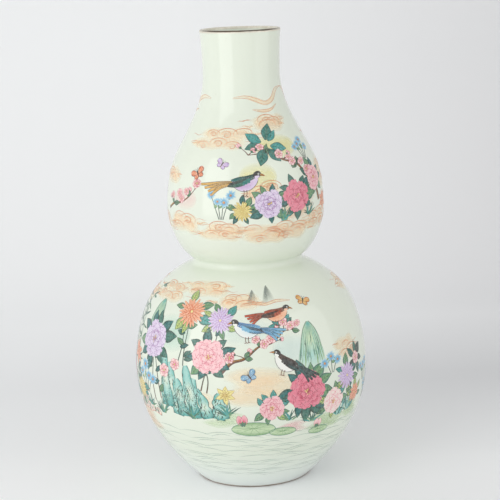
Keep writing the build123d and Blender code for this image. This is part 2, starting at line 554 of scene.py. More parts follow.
def painting_tree():
    """Sweeps strokes drawn in a plane as thin films, wraps them round the wall and colours them."""
    nodes = new_tree("lay_brush_strokes", {
        "Wall line": "Object", "Points across": "Int", "Steps between points": "Int", "Longest step": "Float",
        "Sunk edge": "Float", "Strokes per row": "Float", "Finish": "Material",
    })
    given = nodes.add("NodeGroupInput").outputs
    maths = nodes.maths

    def carried(name, kind="FLOAT"):
        return nodes.geo("InputNamedAttribute", {"Name": name}, data_type=kind)

    def store(mesh, name, value, kind="FLOAT", domain="POINT"):
        return nodes.geo("StoreNamedAttribute", {"Geometry": mesh, "Name": name, "Value": value},
                         data_type=kind, domain=domain)

    # The brush's section is flat from -1 to 1, and its doubled ends go down into the glaze
    gap = maths("DIVIDE", 2.0, maths("SUBTRACT", given["Points across"], 1.0))
    right = nodes.xyz(maths("ADD", gap, 1.0))
    left = nodes.xyz(maths("SUBTRACT", -1.0, gap))
    count = maths("ADD", given["Points across"], 2.0)
    section = nodes.geo("MeshLine", {0: count, 2: left, 3: right}, mode="END_POINTS")
    across = nodes.parts(nodes.geo("InputPosition"))["X"]
    section = store(section, "sunk", maths("GREATER_THAN", maths("ABSOLUTE", across), 1.001))
    section = store(section, "across", maths("MAXIMUM", maths("MINIMUM", across, 1.0), -1.0))
    section = nodes.geo("SetPosition", {"Geometry": section, "Position": nodes.xyz(carried("across"))})
    section = nodes.geo("MeshToCurve", {"Mesh": section})
    section = nodes.geo("SetSplineCyclic", {"Geometry": section, "Cyclic": True})
    strokes = nodes.geo("MeshToCurve", {"Mesh": given["Geometry"]})
    strokes = nodes.geo("CurveSplineType", {"Curve": strokes}, spline_type="CATMULL_ROM")
    strokes = nodes.geo("SetSplineResolution", {"Geometry": strokes, "Resolution": SMOOTH_STEPS})
    spline = nodes.geo("SplineLength").outputs
    gaps = maths("SUBTRACT", spline["Point Count"], 1.0)
    steps = maths("MULTIPLY", gaps, given["Steps between points"])
    fewest = maths("CEIL", maths("DIVIDE", spline["Length"], given["Longest step"]))
    points = maths("ADD", maths("MAXIMUM", steps, fewest), 1.0)
    strokes = nodes.geo("ResampleCurve", {"Curve": strokes, "Count": points}, mode="COUNT")
    strokes = nodes.geo("SetCurveNormal", {"Curve": strokes}, mode="Z_UP")
    film = nodes.geo("CurveToMesh", {"Curve": strokes, "Profile Curve": section,
                                     "Scale": carried("half_width"), "Fill Caps": True})

    # Each point's place on the wall, and which way the wall faces there
    drawn = nodes.parts(nodes.geo("InputPosition"))
    wall = nodes.geo("ObjectInfo", {"Object": given["Wall line"]}).outputs["Geometry"]
    wall = nodes.geo("MeshToCurve", {"Mesh": wall})
    station = maths("ADD", carried("station"), drawn["Y"])
    foothold = nodes.geo("SampleCurve", {"Curves": wall, "Length": station}, mode="LENGTH").outputs
    reached = nodes.parts(foothold["Position"])
    rising = nodes.parts(foothold["Tangent"])
    turn = maths("ADD", carried("azimuth"), maths("DIVIDE", drawn["X"], reached["X"]))
    sine = maths("SINE", turn)
    back = maths("MULTIPLY", maths("COSINE", turn), -1.0)

    def round_the_axis(radius, height):
        return nodes.xyz(maths("MULTIPLY", radius, sine), maths("MULTIPLY", radius, back), height)

    drop = maths("MULTIPLY", rising["X"], -1.0)
    film = store(film, "wall_normal", round_the_axis(rising["Z"], drop), "FLOAT_VECTOR")
    sunk = maths("GREATER_THAN", carried("sunk"), 0.5)
    height = nodes.between(sunk, carried("lift"), given["Sunk edge"])
    radius = maths("MULTIPLY_ADD", height, rising["Z"], reached["X"])
    level = maths("MULTIPLY_ADD", height, drop, reached["Z"])

    # Colour from the heart to the edges, and cover that fades towards the edges
    side = maths("ABSOLUTE", carried("across"))
    fade = maths("MULTIPLY", side, side)
    paint = nodes.mixed(fade, carried("heart", "FLOAT_COLOR"), carried("edge", "FLOAT_COLOR"))
    film = store(film, "paint", paint, "FLOAT_COLOR")
    clear = maths("SUBTRACT", 1.0, fade)
    film = store(film, "thickness", maths("MULTIPLY", clear, carried("cover")))

    # A strip of the map for each stroke, in rows, with the underside on a thread at the strip's edge
    per_row = given["Strokes per row"]
    number = maths("ROUND", carried("number"))
    row = maths("FLOOR", maths("DIVIDE", number, per_row))
    column = maths("SUBTRACT", number, maths("MULTIPLY", row, per_row))
    u = maths("ADD", column, maths("MULTIPLY_ADD", carried("along"), 0.8, 0.1))
    underside = nodes.geo("FieldOnDomain", {0: carried("sunk")}, domain="FACE", data_type="FLOAT")
    underside = maths("GREATER_THAN", underside, 0.99)
    over = maths("MULTIPLY_ADD", carried("across"), 0.4, 0.5)
    v = maths("ADD", row, nodes.between(underside, over, 0.03))
    strip = nodes.xyz(maths("DIVIDE", u, per_row), maths("DIVIDE", v, per_row))
    film = store(film, "OFBake", strip, "FLOAT2", "CORNER")

    film = nodes.geo("SetPosition", {"Geometry": film, "Position": round_the_axis(radius, level)})
    film = nodes.geo("SetShadeSmooth", {"Geometry": film, "Shade Smooth": True})
    film = nodes.geo("SetMeshNormal", {"Mesh": film, "Custom Normal": carried("wall_normal", "FLOAT_VECTOR")},
                     mode="FREE", domain="POINT")
    end_tree(nodes, film, given["Finish"])
    return nodes.tree


def paint_piece(name, finish, tree, wall_line, across, steps):
    """The painted piece that a sheet of strokes makes on the wall."""
    strokes = SHEETS[name]
    values = {"Wall line": wall_line, "Points across": across, "Steps between points": steps,
              "Longest step": LONGEST_STEP, "Sunk edge": SUNK_EDGE,
              "Strokes per row": float(math.ceil(math.sqrt(len(strokes)))), "Finish": finish}
    piece = run_tree(stroke_object(name + "_strokes", strokes), tree, values, name)
    attributes = piece.data.attributes
    for key in STROKE_VALUES + STROKE_COLOURS + FILM_VALUES:
        if key in attributes:
            attributes.remove(attributes[key])
    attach(piece, "root")
    return piece


# Shapes of strokes, in millimetres

def stem(length, sway, count):
    """A path up from the spot that bends aside."""
    t = np.linspace(0, 1, count)
    return np.column_stack([sway * t**2, length * t])


def away(turn, reach):
    """A point a reach away, turned anticlockwise from straight up in degrees."""
    return -math.sin(math.radians(turn)) * reach, math.cos(math.radians(turn)) * reach


def arc(wide, high, start, end, count):
    """Part of an oval, between two angles in degrees."""
    angles = np.radians(np.linspace(start, end, count))
    return np.column_stack([wide * np.cos(angles), high * np.sin(angles)])


def curl(radius, turns, start, y, squash):
    """A spiral that winds in from its radius, about a point y above the spot."""
    count = max(6, round(9 * abs(turns)))
    t = np.linspace(0, 1, count)
    angles = np.radians(start) + 2 * math.pi * turns * t
    reach = radius * (1 - 0.8 * t)
    return np.column_stack([reach * np.cos(angles), y + squash * reach * np.sin(angles)])


def sides(path, width):
    """The two long edges of a stroke."""
    path = np.asarray(path, float)
    ahead = unit(np.gradient(path, axis=0))
    off = np.column_stack([ahead[:, 1], -ahead[:, 0]]) * along(width, np.linspace(0, 1, len(path)))[:, None]
    return path + off, path - off


def oval(sheet, spot, wide, high, heart, edge=None, level=0.0, cover=1.0, count=7):
    """A filled oval, with its width and height measured from its centre."""
    t = -np.cos(np.linspace(0, math.pi, count))
    lay(sheet, spot, np.column_stack([wide * t, 0 * t]), high * np.sqrt(1 - t**2), heart, edge, level, cover)


def dot(sheet, spot, x, y, radius, colour, level=0.0):
    """A small round dab."""
    oval(sheet, spot.inner(x, y), radius, radius, colour, level=level, count=4)


def blade(sheet, spot, path, width, heart, edge, line, line_width=0.2, level=0.0):
    """A filled stroke with a fine line round it."""
    lay(sheet, spot, path, width, heart, edge, level)
    for side in sides(path, width):
        lay(sheet, spot, side, [line_width, line_width * 1.3, line_width], line, level=level + 0.6)


# Leaves, branches and stems

LEAVES_ON_STEM = 3
LEAF = np.array([0.10, 0.60, 0.94, 1.0, 0.80, 0.42, 0.02])


def leaf(spot, length, width, sway, heart, edge, vein="pine"):
    """A pointed leaf with its midrib and side veins."""
    path = stem(length, sway, 7)
    blade("leaves", spot, path, width * LEAF, heart, edge, vein)
    lay("leaves", spot, path[:6], [0.3, 0.2, 0.1], vein, level=1)
    left, right = sides(path, 0.82 * width * LEAF)
    for k in (1, 2, 3, 4):
        for side in (left, right):
            middle = (path[k] + side[k + 1]) / 2 - (0, 0.02 * length)
            lay("leaves", spot, [path[k], middle, side[k + 1]], [0.16, 0.12, 0.08], vein, level=0.8)


def foliage(spot, count, reach, length, seed, kinds, start=0.0, sweep=360.0):
    """Leaves that spread round a flower."""
    rng = random.Random(seed)
    for k in range(count):
        turn = start + sweep * (k + rng.uniform(-0.25, 0.25)) / count
        heart, edge = kinds[rng.randrange(len(kinds))]
        inner = spot.inner(*away(turn, reach), turn + rng.uniform(-18, 18), rng.uniform(0.8, 1.15))
        leaf(inner, length, length * rng.uniform(0.24, 0.32), rng.uniform(-3, 3), heart, edge)


def stalk(spot, path, width, colour=("jade", "leaf"), level=0.0):
    """A thin green or woody stem."""
    lay("leaves", spot, path, width, colour, "pine", level)


def carried_on(spot, roots, seed, width=0.7, wood=("brown", "jade")):
    """Stems up to a flower at the spot from points below it, with leaves along them."""
    rng = random.Random(seed)
    for x, y in roots:
        low = (0.75 * x + rng.uniform(-2, 2), 0.68 * y)
        high = (0.35 * x + rng.uniform(-2, 2), 0.34 * y)
        path = [(x, y), low, high, (0, 0)]
        stalk(spot, path, [width, 0.8 * width, 0.6 * width], wood, level=-3)
        for _ in range(LEAVES_ON_STEM):
            share = rng.uniform(0.3, 0.9)
            at = (share * x + rng.uniform(-1, 1), share * y)
            inner = spot.inner(*at, rng.choice([-1, 1]) * rng.uniform(35, 85), level=-2)
            leaf(inner, rng.uniform(9, 13), rng.uniform(2.4, 3.4), rng.uniform(-2, 2),
                 *rng.choice([("leaf", "jade"), ("jade", "pine"), ("peacock", "pine")]))


def branch(spot, path, width, seed):
    """A woody branch: dark below, lighter above, with bark strokes, knots and moss."""
    rng = random.Random(seed)
    path = np.asarray(path, float)
    lay("rocks", spot, path, width, "brown", "umber")
    upper = sides(path, 0.45 * np.array(width))[1]
    lay("rocks", spot, upper, [0.5, 0.4, 0.15], ("ochre", "brown"), level=0.7)
    for k in range(len(path) * 3):
        i = rng.randrange(len(path) - 1)
        span = path[i + 1] - path[i]
        bark = path[i] + span * rng.random() + (rng.uniform(-0.5, 0.5), rng.uniform(-0.5, 0.5))
        half = unit(span) * rng.uniform(0.8, 1.8)
        lay("rocks", spot, [bark - half, bark, bark + half], [0.06, 0.22, 0.06], "umber", level=1)
        if k % 3 == 0:
            moss = bark + (rng.uniform(-1.4, 1.4), rng.uniform(0.4, 1.6))
            dot("rocks", spot, *moss, rng.uniform(0.4, 0.75), rng.choice(["turquoise", "jade", "pine"]), 1.3)


def bamboo(spot, height, sway, seed):
    """A jointed cane with lance leaves."""
    rng = random.Random(seed)
    path = stem(height, sway, 9)
    lay("leaves", spot, path, [0.9, 0.8, 0.6, 0.3], ("jade", "leaf"), ("pine", "jade"))
    for k in range(2, 9):
        dot("leaves", spot, *path[k - 1], 0.95, "pine", level=0.8)
        for _ in range(3):
            turn = rng.choice([-1, 1]) * rng.uniform(50, 125)
            bend = rng.uniform(-2, 2)
            lance = stem(rng.uniform(9, 14), bend, 5)
            heart = ("jade", "pine") if rng.random() < 0.5 else ("leaf", "jade")
            lay("leaves", spot.inner(*path[k], turn), lance, [0.2, 0.95, 1.15, 0.7, 0.05], heart, "pine",
                level=1 + 0.2 * k)


def grass(spot, count, length, seed, colours=(("leaf", "jade"), ("turquoise", "peacock"), ("jade", "pine"))):
    """A tuft of blades."""
    rng = random.Random(seed)
    for k in range(count):
        turn = rng.uniform(-55, 55)
        inner = spot.inner(rng.uniform(-3, 3), 0, turn)
        path = stem(length * rng.uniform(0.6, 1.1), -turn * 0.06, 5)
        lay("leaves", inner, path, [0.3, 0.75, 0.7, 0.4, 0.05], colours[k % len(colours)], level=0.3 * k)


# Flowers, drawn about their centres

PETAL = np.array([0.28, 0.56, 0.84, 1.0, 1.0, 0.80, 0.30])


def petal(spot, length, width, colours, line, level):
    """A broad petal with a ruffled tip, fine veins and a fine line round it."""
    base, middle, tip = colours
    path = stem(length, 0, 7)
    blade("flowers", spot, path, width * PETAL, (base, middle, tip), (middle, tip, tip), line, 0.16, level)
    for k in (-1, 0, 1):
        ruffle = spot.inner(k * 0.55 * width, length * (0.95 - 0.06 * abs(k)))
        oval("flowers", ruffle, 0.4 * width, 0.1 * length, tip, level=level + 0.1, count=5)
    for k in (-0.6, -0.3, 0, 0.3, 0.6):
        vein = [(0.15 * k * width, 0.1 * length), (0.6 * k * width, 0.45 * length),
                (k * width, 0.78 * length)]
        lay("flowers", spot, vein, [0.22, 0.14, 0.06], (line, middle), level=level + 0.7)


def peony(spot, colours, line, seed, radius):
    """A full double flower: four rings of petals round a golden centre."""
    rng = random.Random(seed)
    pale = colours[1:] + colours[-1:]
    for ring, (count, reach, wide, kind) in enumerate([
            (9, 1.0, 0.36, colours), (8, 0.80, 0.34, pale), (7, 0.60, 0.28, colours), (5, 0.40, 0.22, pale)]):
        for k in range(count):
            turn = 360 * (k + 0.5 * ring + rng.uniform(-0.2, 0.2)) / count
            petal(spot.inner(turn=turn, level=1.6 * ring), radius * reach * rng.uniform(0.88, 1.1),
                  radius * wide, kind, line, 0.25 * (k % 2))
    for k in range(14):
        angle, reach = rng.uniform(0, 2 * math.pi), radius * rng.uniform(0.03, 0.2)
        dot("flowers", spot, reach * math.cos(angle), reach * math.sin(angle), rng.uniform(0.45, 0.7),
            rng.choice(["gold", "lemon", "ochre"]), level=7.5)


def chrysanthemum(spot, colours, line, seed, radius):
    """A flower of many narrow petals in rings, incurved at the middle."""
    rng = random.Random(seed)
    width = radius * 0.085 * np.array([0.5, 0.8, 1.0, 1.0, 0.35])
    oval("flowers", spot, 0.6 * radius, 0.6 * radius, line)
    for ring, (count, reach) in enumerate([(21, 1.0), (17, 0.76), (13, 0.52), (8, 0.30)]):
        for k in range(count):
            turn = 360 * (k + 0.5 * ring + rng.uniform(-0.2, 0.2)) / count
            inner = spot.inner(turn=turn, level=0.5 + 1.3 * ring)
            length = radius * reach * rng.uniform(0.9, 1.08)
            path = stem(length, rng.uniform(-1.5, 1.5) * reach, 5)
            blade("flowers", inner, path, width, colours, colours[-1], line, 0.13, 0.2 * (k % 2))
    dot("flowers", spot, 0, 0, radius * 0.1, "lemon", level=7)


def aster(spot, colours, seed, radius):
    """A small daisy-like flower."""
    rng = random.Random(seed)
    count = 11
    width = radius * np.array([0.08, 0.14, 0.17, 0.16, 0.05])
    for k in range(count):
        inner = spot.inner(turn=360 * (k + rng.uniform(-0.2, 0.2)) / count)
        lay("flowers", inner, stem(radius * rng.uniform(0.88, 1.1), 0, 5), width, colours,
            level=0.3 * (k % 3))
    dot("flowers", spot, 0, 0, radius * 0.24, "gold", level=1.6)
    dot("flowers", spot, radius * 0.06, -radius * 0.06, radius * 0.12, "iron_red", level=2.2)


def blossom(spot, seed, radius):
    """A five-petalled tree blossom with its stamens."""
    rng = random.Random(seed)
    width = radius * np.array([0.12, 0.36, 0.50, 0.52, 0.40, 0.12])
    for k in range(5):
        inner = spot.inner(turn=72 * k + rng.uniform(-8, 8))
        blade("flowers", inner, stem(radius, 0, 6), width, BLUSH, "blush", "ruby", 0.16, 0.25 * (k % 2))
        stamen = inner.inner(turn=rng.uniform(-20, 20))
        lay("flowers", stamen, stem(radius * 0.52, 0, 3), [0.16, 0.12, 0.1], "ruby", level=1.5)
        dot("flowers", inner, rng.uniform(-0.5, 0.5), radius * 0.55, 0.32, "ochre", level=2)
    dot("flowers", spot, 0, 0, radius * 0.16, "lime", level=2)


def bud(spot, colours, line, length):
    """A closed flower with its green cup, that points up from the spot."""
    width = length * np.array([0.15, 0.28, 0.33, 0.30, 0.2, 0.03])
    cup_width = length * np.array([0.14, 0.16, 0.1, 0.02])
    for side in (-1, 1):
        inner = spot.inner(side * 0.16 * length, 0.2 * length, -7 * side)
        blade("flowers", inner, stem(length, 0, 6), width, colours, colours[-1], line, 0.16, 0.4 * (side + 1))
    for turn in (-38, 0, 38):
        cup = stem(0.55 * length, 0, 4)
        lay("flowers", spot.inner(turn=turn), cup, cup_width, ("jade", "leaf"), "pine", level=1.8)


def lily(spot, colours, line, seed):
    """Six long pointed petals with dark specks."""
    rng = random.Random(seed)
    radius = 11.0
    for k in range(6):
        inner = spot.inner(turn=60 * k + rng.uniform(-7, 7), level=0.9 * (k % 2))
        length = radius * rng.uniform(0.9, 1.1)
        path = stem(length, rng.uniform(-2, 2), 7)
        blade("flowers", inner, path, radius * 0.24 * LEAF, colours, colours[-1], line, 0.16)
        lay("flowers", inner, stem(length * 0.85, 0, 4), [0.3, 0.2, 0.06], line, level=0.8)
        for _ in range(5):
            dot("flowers", inner, rng.uniform(-0.9, 0.9), length * rng.uniform(0.15, 0.5), 0.2, "brown",
                level=1)
        stamen = inner.inner(turn=20)
        lay("flowers", stamen, stem(radius * 0.5, 1.2, 4), [0.14, 0.1], "lemon", level=2.2)
        dot("flowers", stamen, 1.2, radius * 0.5, 0.42, "brown", level=2.6)


# Rocks, clouds and water

# Streaks down a tall peak: how far to its side, and its share of the height at the top and the foot of each
CONE_STREAKS = (
    (-0.92, 0.93, 0.12), (-0.72, 0.86, 0.05), (-0.5, 0.8, 0.1), (-0.3, 0.72, 0.2), (-0.12, 0.62, 0.14),
    (0.2, 0.6, 0.3), (0.4, 0.78, 0.08), (0.58, 0.85, 0.2), (0.74, 0.9, 0.04), (0.9, 0.95, 0.15),
)
ROCK = np.array([1.0, 1.08, 0.92, 1.06, 0.9, 1.02, 0.94, 0.8, 0.4])


def garden_rock(spot, width, height, seed, dark="pine", mid="turquoise", pale="pale_turquoise"):
    """A worn garden rock: pale blunt lumps that lean together, hatched down their shaded sides, with moss."""
    rng = random.Random(seed)
    lumps = max(4, round(width / 8))
    for k in sorted(range(lumps), key=lambda k: (k % 2, k)):
        share = k / (lumps - 1)
        tall = height * (1 - 0.6 * abs(2 * share - 0.9)) * rng.uniform(0.75, 1.15)
        wide = 0.85 * width * rng.uniform(0.85, 1.2) / lumps
        x = 0.85 * width * (share - 0.5) + rng.uniform(-1.5, 1.5)
        inner = spot.inner(x, 0, rng.uniform(-16, 16), level=1.2 * (k % 2))
        bend = rng.uniform(-5, 5)
        shape = wide * ROCK * [rng.uniform(0.8, 1.16) for _ in ROCK]
        blade("rocks", inner, stem(tall, bend, 9), shape, (mid, pale, "mist", pale, pale),
              (dark, mid, pale, mid, mid), dark, 0.24)
        for _ in range(24):
            x = 0.9 * wide * rng.triangular(-1, 1, -0.8)
            rise = rng.uniform(0.02, 0.82)
            x, y = x + bend * rise**2, tall * rise
            reach = rng.uniform(1.8, 4.6)
            lean = 0.22 * x + rng.uniform(-0.6, 0.6)
            lay("rocks", inner, [(x, y), (x - 0.5 * lean, y + 0.5 * reach), (x - 1.4 * lean, y + reach)],
                [0.12, rng.uniform(0.25, 0.55), 0.08], rng.choice([dark, dark, "black", "sage"]), level=0.8)
    for _ in range(14):
        dot("rocks", spot, rng.uniform(-0.5, 0.5) * width, rng.uniform(0.0, 0.5) * height,
            rng.uniform(0.3, 0.6), rng.choice([dark, "jade", "leaf"]), level=4)


def cone_rock(spot, width, height, seed):
    """A tall pale green peak with a round top: streaks fan down from it and thin out to mist."""
    rng = random.Random(seed)
    bare = 1 - np.linspace(0, 1, 15)

    def streak(share, top, foot):
        rows = np.linspace(top, foot, 9)
        wander = [0.02 * width * rng.uniform(-1, 1) for _ in rows]
        return np.column_stack([0.1 * width * rows + share * width * np.sqrt(1 - rows) + wander,
                                height * rows])

    risen = 1 - bare**2
    foot_colours = ("mist", "pale_turquoise", "pale_green", "sage")
    lay("rocks", spot, np.column_stack([0.1 * width * risen, height * risen]), width * bare,
        foot_colours + ("turquoise", "sage"), foot_colours)
    for share, top, foot in CONE_STREAKS:
        path = streak(share, top, foot)
        broad = np.array([0.1, 0.6, 0.9, 0.8, 0.1]) * rng.uniform(0.5, 1.1)
        upper, lower = rng.choice(["jade", "turquoise"]), rng.choice(["leaf", "sage", "jade"])
        lay("rocks", spot, path, broad, (upper, "sage", lower, "pale_green"), level=0.8)
    for _ in range(14):
        top = rng.uniform(0.4, 0.9)
        path = streak(rng.uniform(-0.9, 0.9), top, top - rng.uniform(0.12, 0.3))
        lay("rocks", spot, path, [0.06, 0.3, 0.06], rng.choice(["jade", "pine", "sage"]), level=1.2)
    for hand in (-1, 1):
        path = streak(hand, 0.995, 0.06)
        lay("rocks", spot, path, [0.4, 0.36, 0.3, 0.08], ("moss", "moss", "sage", "mist"), level=1.4)


def misty_peak(spot, width, height):
    """A far peak in grey wash, darkest down its left side, that thins out towards its foot."""
    t = np.linspace(0, 1, 8)
    half = width * (1 - t) ** 0.8
    lay("washes", spot, stem(height, 0, 8), half, "smoke", cover=[0.05, 0.4, 0.7, 0.95])
    left = np.column_stack([-0.5 * half, height * t])
    lay("washes", spot, left, 0.45 * half, "smoke", level=1, cover=[0.1, 0.5, 0.8, 0.95])


# Radius of a cloud's lobes, and the height above which a cloud counts as tall, in millimetres
CLOUD_LOBE = 8.0
TALL_CLOUD_LOBE = 11.0
TALL_CLOUD = 22.0


def cloud_lobe(spot, radius, seed):
    """One lobe of a cloud: nested scallops, and here and there a curl or a warmer heart."""
    rng = random.Random(seed)
    start, end = rng.uniform(180, 215), rng.uniform(-35, 5)
    rings = max(1, round(radius / 6.5))
    for ring in range(rings + (rng.random() < 0.4)):
        share = 1 - ring / (rings + 0.8)
        scallop = arc(1.15 * radius * share, 0.66 * radius * share, start, end, 9)
        lay("clouds", spot, scallop, [0.1, 0.26, 0.34, 0.26, 0.1], "cloud_line", level=0.4)
    if rng.random() < 0.6:
        hand = rng.choice([-1, 1])
        scroll = curl(0.62 * radius, 1.4 * hand, 90 - 90 * hand, -0.08 * radius, 0.8)
        lay("clouds", spot, scroll, [0.1, 0.26, 0.32, 0.28, 0.14], "cloud_line", level=0.6)
    if rng.random() < 0.3:
        heart = spot.inner(0, 0.1 * radius)
        oval("washes", heart, 0.75 * radius, 0.36 * radius, "orange", level=0.8, cover=[0, 0.14, 0])


def cloud(spot, length, height, seed):
    """A scroll cloud: lobes of many sizes in fine coral line over broad soft washes, drawn out into tails."""
    rng = random.Random(seed)
    lobe = TALL_CLOUD_LOBE if height > TALL_CLOUD else CLOUD_LOBE
    rows = max(2, round(height / lobe))
    for row in range(rows):
        rise = 1 - 2 * (row + 0.5) / rows
        reach = 0.5 * length * math.sqrt(max(0.1, 1 - rise**2)) * rng.uniform(0.7, 1.05)
        shift = rng.uniform(-0.14, 0.14) * length
        y = 0.5 * height * rise
        sweep = [(shift + share * (reach + lobe), y + rng.uniform(-1.2, 1.2))
                 for share in (-1, -0.6, -0.2, 0.2, 0.6, 1)]
        lay("washes", spot, sweep, lobe * np.array([0.2, 0.75, 0.95, 0.8, 1.0, 0.25]), "cloud_wash",
            level=0.3 * row, cover=[0, 0.56, 0.46, 0.58, 0.48, 0])
        count = max(1, round(1.05 * reach / lobe))
        for k in range(count):
            x = shift + reach * (2 * (k + 0.5) / count - 1) + rng.uniform(-0.35, 0.35) * lobe
            inner = spot.inner(x, y + rng.uniform(-0.3, 0.3) * lobe)
            cloud_lobe(inner, lobe * rng.triangular(0.55, 1.45, 0.9), 100 * seed + 10 * row + k)
    for hand in (-1, 1):
        for k in range(3):
            y = height * rng.uniform(-0.36, 0.36)
            far = length * rng.uniform(0.2, 0.42)
            start = hand * length * 0.42
            path = [(start, y), (start + hand * far * 0.35, y + rng.uniform(-1.4, 1.4)),
                    (start + hand * far * 0.7, y + rng.uniform(-1.4, 1.4)), (start + hand * far, y)]
            lay("clouds", spot, path, [0.07, 0.2, 0.18, 0.06], "cloud_line", level=0.5)
            if k == 0:
                lay("washes", spot, path, [2.4, 2.2, 1.4, 0.5], "cloud_wash", cover=[0.4, 0.45, 0.3, 0])


def bank(spot, length, height, colour, strength, seed):
    """A soft bank of earth or grass: level strokes of thin wash over one another."""
    rng = random.Random(seed)
    for k in range(3):
        half = 0.5 * length * rng.uniform(0.7, 1.0)
        x = rng.uniform(-0.15, 0.15) * length
        y = 0.45 * height * (k - 1)
        path = [(x + share * half, y + rng.uniform(-1, 1)) for share in (-1, -0.5, 0, 0.5, 1)]
        lay("washes", spot, path, height * np.array([0.12, 0.42, 0.5, 0.4, 0.1]), colour, level=0.3 * k,
            cover=[0, strength, strength, 0.8 * strength, 0])


def cloud_ribbon(spot, path, seed, width=2.6):
    """A thin trail of cloud: two wavering coral lines over a wash."""
    rng = random.Random(seed)
    path = np.asarray(path, float)
    lay("washes", spot, path, [0.8, width * 1.2, width * 1.2, 0.8], "cloud_wash", cover=[0.1, 0.6, 0.6, 0.1])
    for side in sides(path, width * np.array([0.1, 0.8, 0.55, 0.9, 0.1])):
        side = side + [(0, rng.uniform(-0.35, 0.35)) for _ in side]
        lay("clouds", spot, side, [0.08, 0.24, 0.2, 0.24, 0.08], "cloud_line", level=0.5)


# Length of a ripple, in millimetres
RIPPLE_LENGTH = 33.0


def waves(low, high, step, seed):
    """Rows of long overlapping ripples all round the foot, in pale grey-green line."""
    rng = random.Random(seed)
    for row, station in enumerate(np.arange(low, high, step)):
        radius = np.interp(station * MM, CLAY_RUN, GLAZE_LINE[:, 0]) / MM
        count = round(2 * math.pi * radius / RIPPLE_LENGTH)
        for k in range(count):
            azimuth = 360 * (k + 0.5 * (row % 2) + rng.uniform(-0.12, 0.12)) / count
            spot = Spot(azimuth, station + rng.uniform(-1.2, 1.2), rng.uniform(-2.5, 2.5),
                        hand=rng.choice([-1, 1]))
            wide = math.pi * radius / count * rng.uniform(1.05, 1.3)
            crest = rng.uniform(1.6, 2.8)
            for drop, share in ((0, 1.0), (2.1, 0.62))[:rng.choice([1, 2, 2])]:
                w = share * wide
                path = [(-w, -0.5 - drop), (-0.55 * w, 0.62 * crest - drop), (-0.05 * w, crest - drop),
                        (0.4 * w, 0.72 * crest - drop), (0.8 * w, -drop), (1.05 * w, -0.9 - drop)]
                lay("waves", spot, path, [0.2, 0.6, 0.8, 0.65, 0.2], "wave_line",
                    cover=[0.1, 0.4, 0.48, 0.4, 0.1])


def lotus_pad(spot, wide, high, seed):
    """A floating leaf seen aslant, with veins from its middle."""
    rng = random.Random(seed)
    oval("leaves", spot, wide, high, "pale_green", "leaf", count=9)
    for k in range(11):
        angle = 2 * math.pi * (k + rng.uniform(-0.2, 0.2)) / 11
        x, y = wide * math.cos(angle), high * math.sin(angle)
        vein = [(0, 0.1 * high), (0.5 * x, 0.1 * high + 0.42 * y), (0.86 * x, 0.84 * y)]
        lay("leaves", spot, vein, [0.22, 0.16, 0.06], "leaf", level=0.8)
    lay("leaves", spot, arc(0.98 * wide, 0.98 * high, 0, 360, 16), 0.2, "jade", level=0.9)


# Birds and butterflies, drawn facing right

def songbird(spot, back, breast, wing, tail, seed, tail_length=26.0):
    """A perched bird: long tail feathers, breast, back, folded wing, capped head, beak and feet."""
    rng = random.Random(seed)
    for k in range(4):
        path = [(-8, 0.5 - 0.5 * k), (-8 - 0.4 * tail_length, -1.5 - 1.2 * k),
                (-8 - (1 - 0.12 * k) * tail_length, -5 - 2.6 * k)]
        blade("birds", spot, path, [0.9, 1.5, 0.9], tail, tail[-1], "black", 0.14, 0.4 * k)
    blade("birds", spot, [(-10, 0), (-6, -0.8), (-1, -1.2), (4, 0.2), (8, 3), (10.5, 6)],
          [1.6, 4.2, 5.8, 5.6, 4.2, 2.4], breast, breast[-1], "black", 0.16, 2)
    lay("birds", spot, [(-11, 1.5), (-5, 3), (1, 4), (6, 5.8), (10, 8)], [1.0, 2.2, 2.6, 2.4, 1.6],
        back, back[-1], level=2.6)
    for k in range(6):
        path = [(4 - 0.8 * k, 3.5 - 0.7 * k), (-3 - 0.7 * k, 1.4 - 0.75 * k), (-12 - 0.4 * k, -1.2 - 0.5 * k)]
        blade("birds", spot, path, [1.5, 1.45, 0.35], wing, wing[0], "black", 0.14, 3 + 0.3 * k)
    for k in range(9):
        row, place = divmod(k, 3)
        inner = spot.inner(4.6 - 2.2 * row, 4.0 - 1.2 * row - 1.3 * place, 20)
        oval("birds", inner, 1.2, 0.7, back[0], wing[0], level=5.2 + 0.1 * k, count=5)
    oval("birds", spot.inner(11, 8.6, 25), 3.6, 3.0, "black", level=5)
    lay("birds", spot, [(9, 6.6), (11, 6.4), (13, 7.4)], [0.6, 1.2, 0.6], breast[-1], level=5.6)
    dot("birds", spot, 12.2, 9.2, 0.75, "white", level=6)
    dot("birds", spot, 12.4, 9.2, 0.42, "black", level=6.6)
    lay("birds", spot, [(13.8, 8.8), (16, 8.4), (18.2, 7.6)], [1.0, 0.7, 0.06], ("ochre", "iron_red"),
        "brown", level=5.4)
    for x in (0.5, 3.0):
        lay("birds", spot, [(x, -5.5), (x + 0.6, -8.6), (x + 0.2, -10.2)], [0.36, 0.28, 0.26], "brown",
            level=1.6)
        for d in (-1.4, 0.6, 2.0):
            toe = [(x + 0.2, -10.2), (x + 0.2 + 0.6 * d, -10.9), (x + 0.2 + d, -11.2)]
            lay("birds", spot, toe, [0.24, 0.2, 0.1], "brown", level=1.7)
    for _ in range(14):
        x = rng.uniform(-4, 7)
        y = rng.uniform(-4.5, -0.5) + max(0, 0.5 * x)
        lay("birds", spot, [(x, y), (x + 0.8, y + 0.5)], [0.14, 0.06], breast[0], level=2.8)


